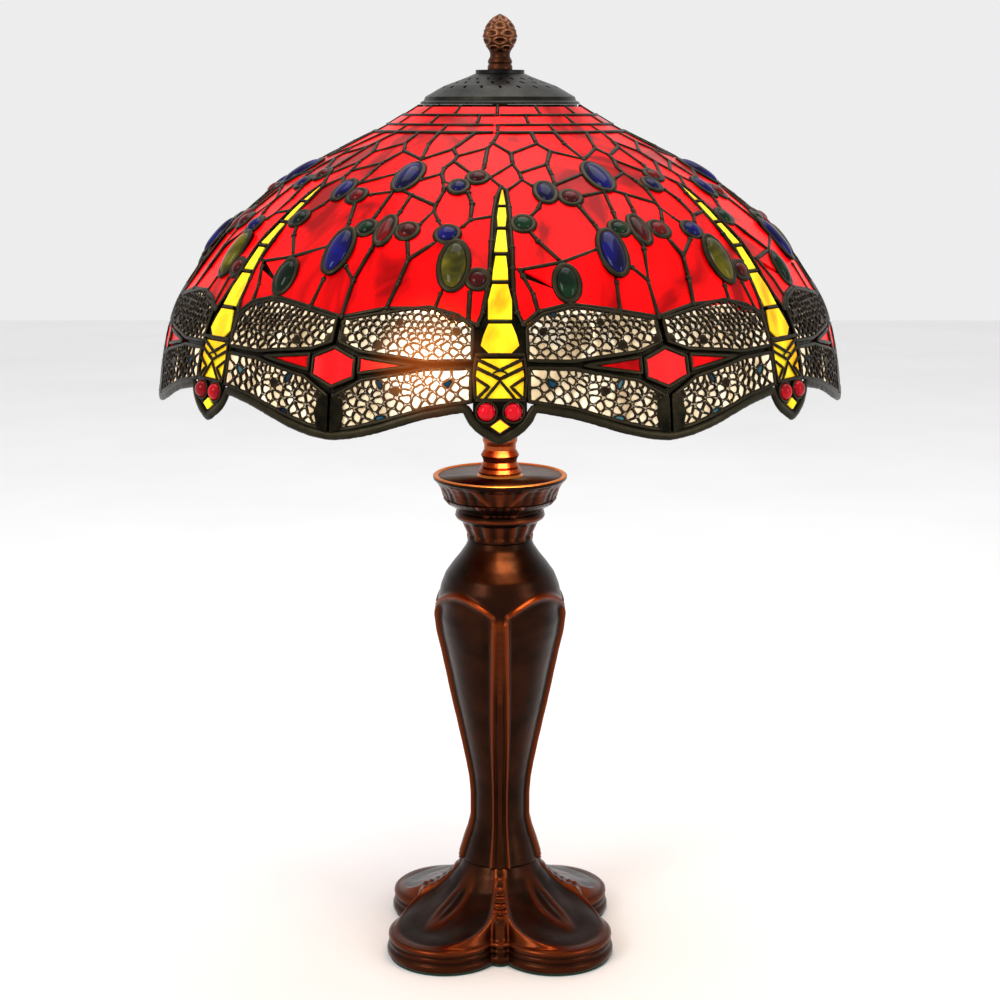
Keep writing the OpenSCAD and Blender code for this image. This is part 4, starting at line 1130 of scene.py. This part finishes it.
def make_plate(materials):
    low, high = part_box("top_plate")
    z, r = high[2] / MM, high[0] / MM
    foot_r = 0.84 * r

    def leaves(t, height):
        down = (z - height) / PLATE_T
        on = ease((down - 0.2) / 0.15) * ease((1.02 - down) / 0.1)
        vein = 0.5 + 0.5 * math.cos(math.radians(wrap(t, 30) * 36))
        leaf = hump(wrap(t, 45), 3.0 + 6 * (1 - down))
        edge = hump(abs(wrap(t, 90)) - 10 - 22 * (1 - down), 2.6)
        return on * (0.6 * vein + 0.9 * leaf + 1.0 * edge), min(0.8, on * (0.15 * vein + 0.35 * leaf + 0.5 * edge))

    skirt = [(foot_r - 1, z - PLATE_T), (foot_r - 0.4, z - 14), (foot_r + 0.8, z - 10.5), (foot_r + 3.2, z - 6.5),
             (r - 1.4, z - 3.9), (r - 0.2, z - 3.2), (r - 0.1, z - 1.2)]
    disc = [(r - 0.1, z - 1.6), (r - 0.7, z - 0.6), (r - 2.6, z - 0.5), (r - 4.2, z - 1.6), (r - 12, z - 1.5),
            (16, z - 1.2), (12, z - 0.8)]
    under = turned_relief("plate_skirt", skirt, leaves, materials["bronze"], "stand", "bronze", 288, 70)
    top = turned_relief("plate_disc", disc, lambda t, height: (0, 0), materials["copper"], "stand", "copper", 144, 60)
    for piece in (under, top):
        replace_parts(piece, "top_plate")


def make_finial(materials):
    low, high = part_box("finial")
    z0, z1 = low[2] / MM, high[2] / MM
    r = high[0] / MM
    outline = [
        (0.72, 0), (0.72, 0.07), (0.64, 0.1), (0.72, 0.14), (0.66, 0.19), (0.57, 0.24), (0.58, 0.31), (0.7, 0.38),
        (0.82, 0.46), (0.92, 0.54), (0.98, 0.62), (0.9, 0.7), (0.78, 0.78), (0.62, 0.86), (0.36, 0.94), (0.06, 1),
    ]

    def relief(t, z):
        share = (z - z0) / (z1 - z0)
        on = ease((share - 0.3) / 0.1) * ease((1.0 - share) / 0.06)
        row = (share - 0.3) / 0.14
        shift = 30 if int(row) % 2 else 0
        a = wrap(t + shift, 60) / 30
        b = (row % 1) * 2 - 1
        leaf = math.hypot(a, b * 0.85)
        push = on * (0.7 * hump(leaf - 0.72, 0.2) - 0.9 * hump(leaf, 0.38))
        return push, min(0.9, max(0.0, 0.8 * on * hump(leaf - 0.72, 0.22)))

    made = turned_relief("finial_bud", [(a * r, z0 + b * (z1 - z0)) for a, b in outline], relief,
                         materials["finial"], "finial_knob", "finial_bronze", 120, 90)
    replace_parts(made, "finial")


# ---------------------------------------------------------------- carried-over nodes

LOOKS = {
    "felt_pad": "felt", "cover_plate": "steel", "weight": "iron", "cord_bushing": "rubber", "lower_washer": "steel",
    "lower_nut": "brass", "top_plate": "copper", "plate_collar": "stem", "stem": "stem", "riser": "brass",
    "riser_nut": "brass", "cluster": "brass", "socket_shells": "brass", "socket_liners": "porcelain",
    "socket_contacts": "brass", "seat_nut": "brass", "stud": "brass", "shade_seat": "brass",
    "bulb_left_glass": "bulb", "bulb_right_glass": "bulb", "bulb_left_cap": "aluminium", "bulb_right_cap": "aluminium",
    "cap": "pewter", "cap_ring": "solder", "crown_glass": "red", "field_glass": "red", "tail_glass": "yellow",
    "thorax_glass": "yellow", "wing_glass_upper": "cream", "wing_glass_lower": "cream", "head_plates": "solder",
    "head_diamonds": "yellow", "triangles": "red", "hexagons": "hexagon", "finial_washer": "washer",
}


def dress_nodes(materials):
    for node, look in LOOKS.items():
        piece = nodes[node]
        piece.data.materials.clear()
        piece.data.materials.append(materials[look])


def main():
    make_camera()
    make_studio()
    materials = make_materials()
    dress_nodes(materials)
    make_solder(materials)
    make_crown(materials)
    make_filigree(materials)
    make_thorax(materials)
    make_jewels(materials)
    make_rim(materials)
    make_column(materials)
    make_foot(materials)
    make_capital(materials)
    make_plate(materials)
    make_finial(materials)
    bpy.ops.mesh.primitive_plane_add(size=8)
    floor = bpy.context.object
    floor.name = "floor"
    s = Shader("floor")
    s.link(s.ramp(s.noise(3), [(0.3, (0.86, 0.86, 0.86, 1)), (0.7, (0.9, 0.9, 0.9, 1))]), s.bsdf.inputs["Base Color"])
    s.put(Roughness=0.7)
    floor.data.materials.append(s.material)


main()
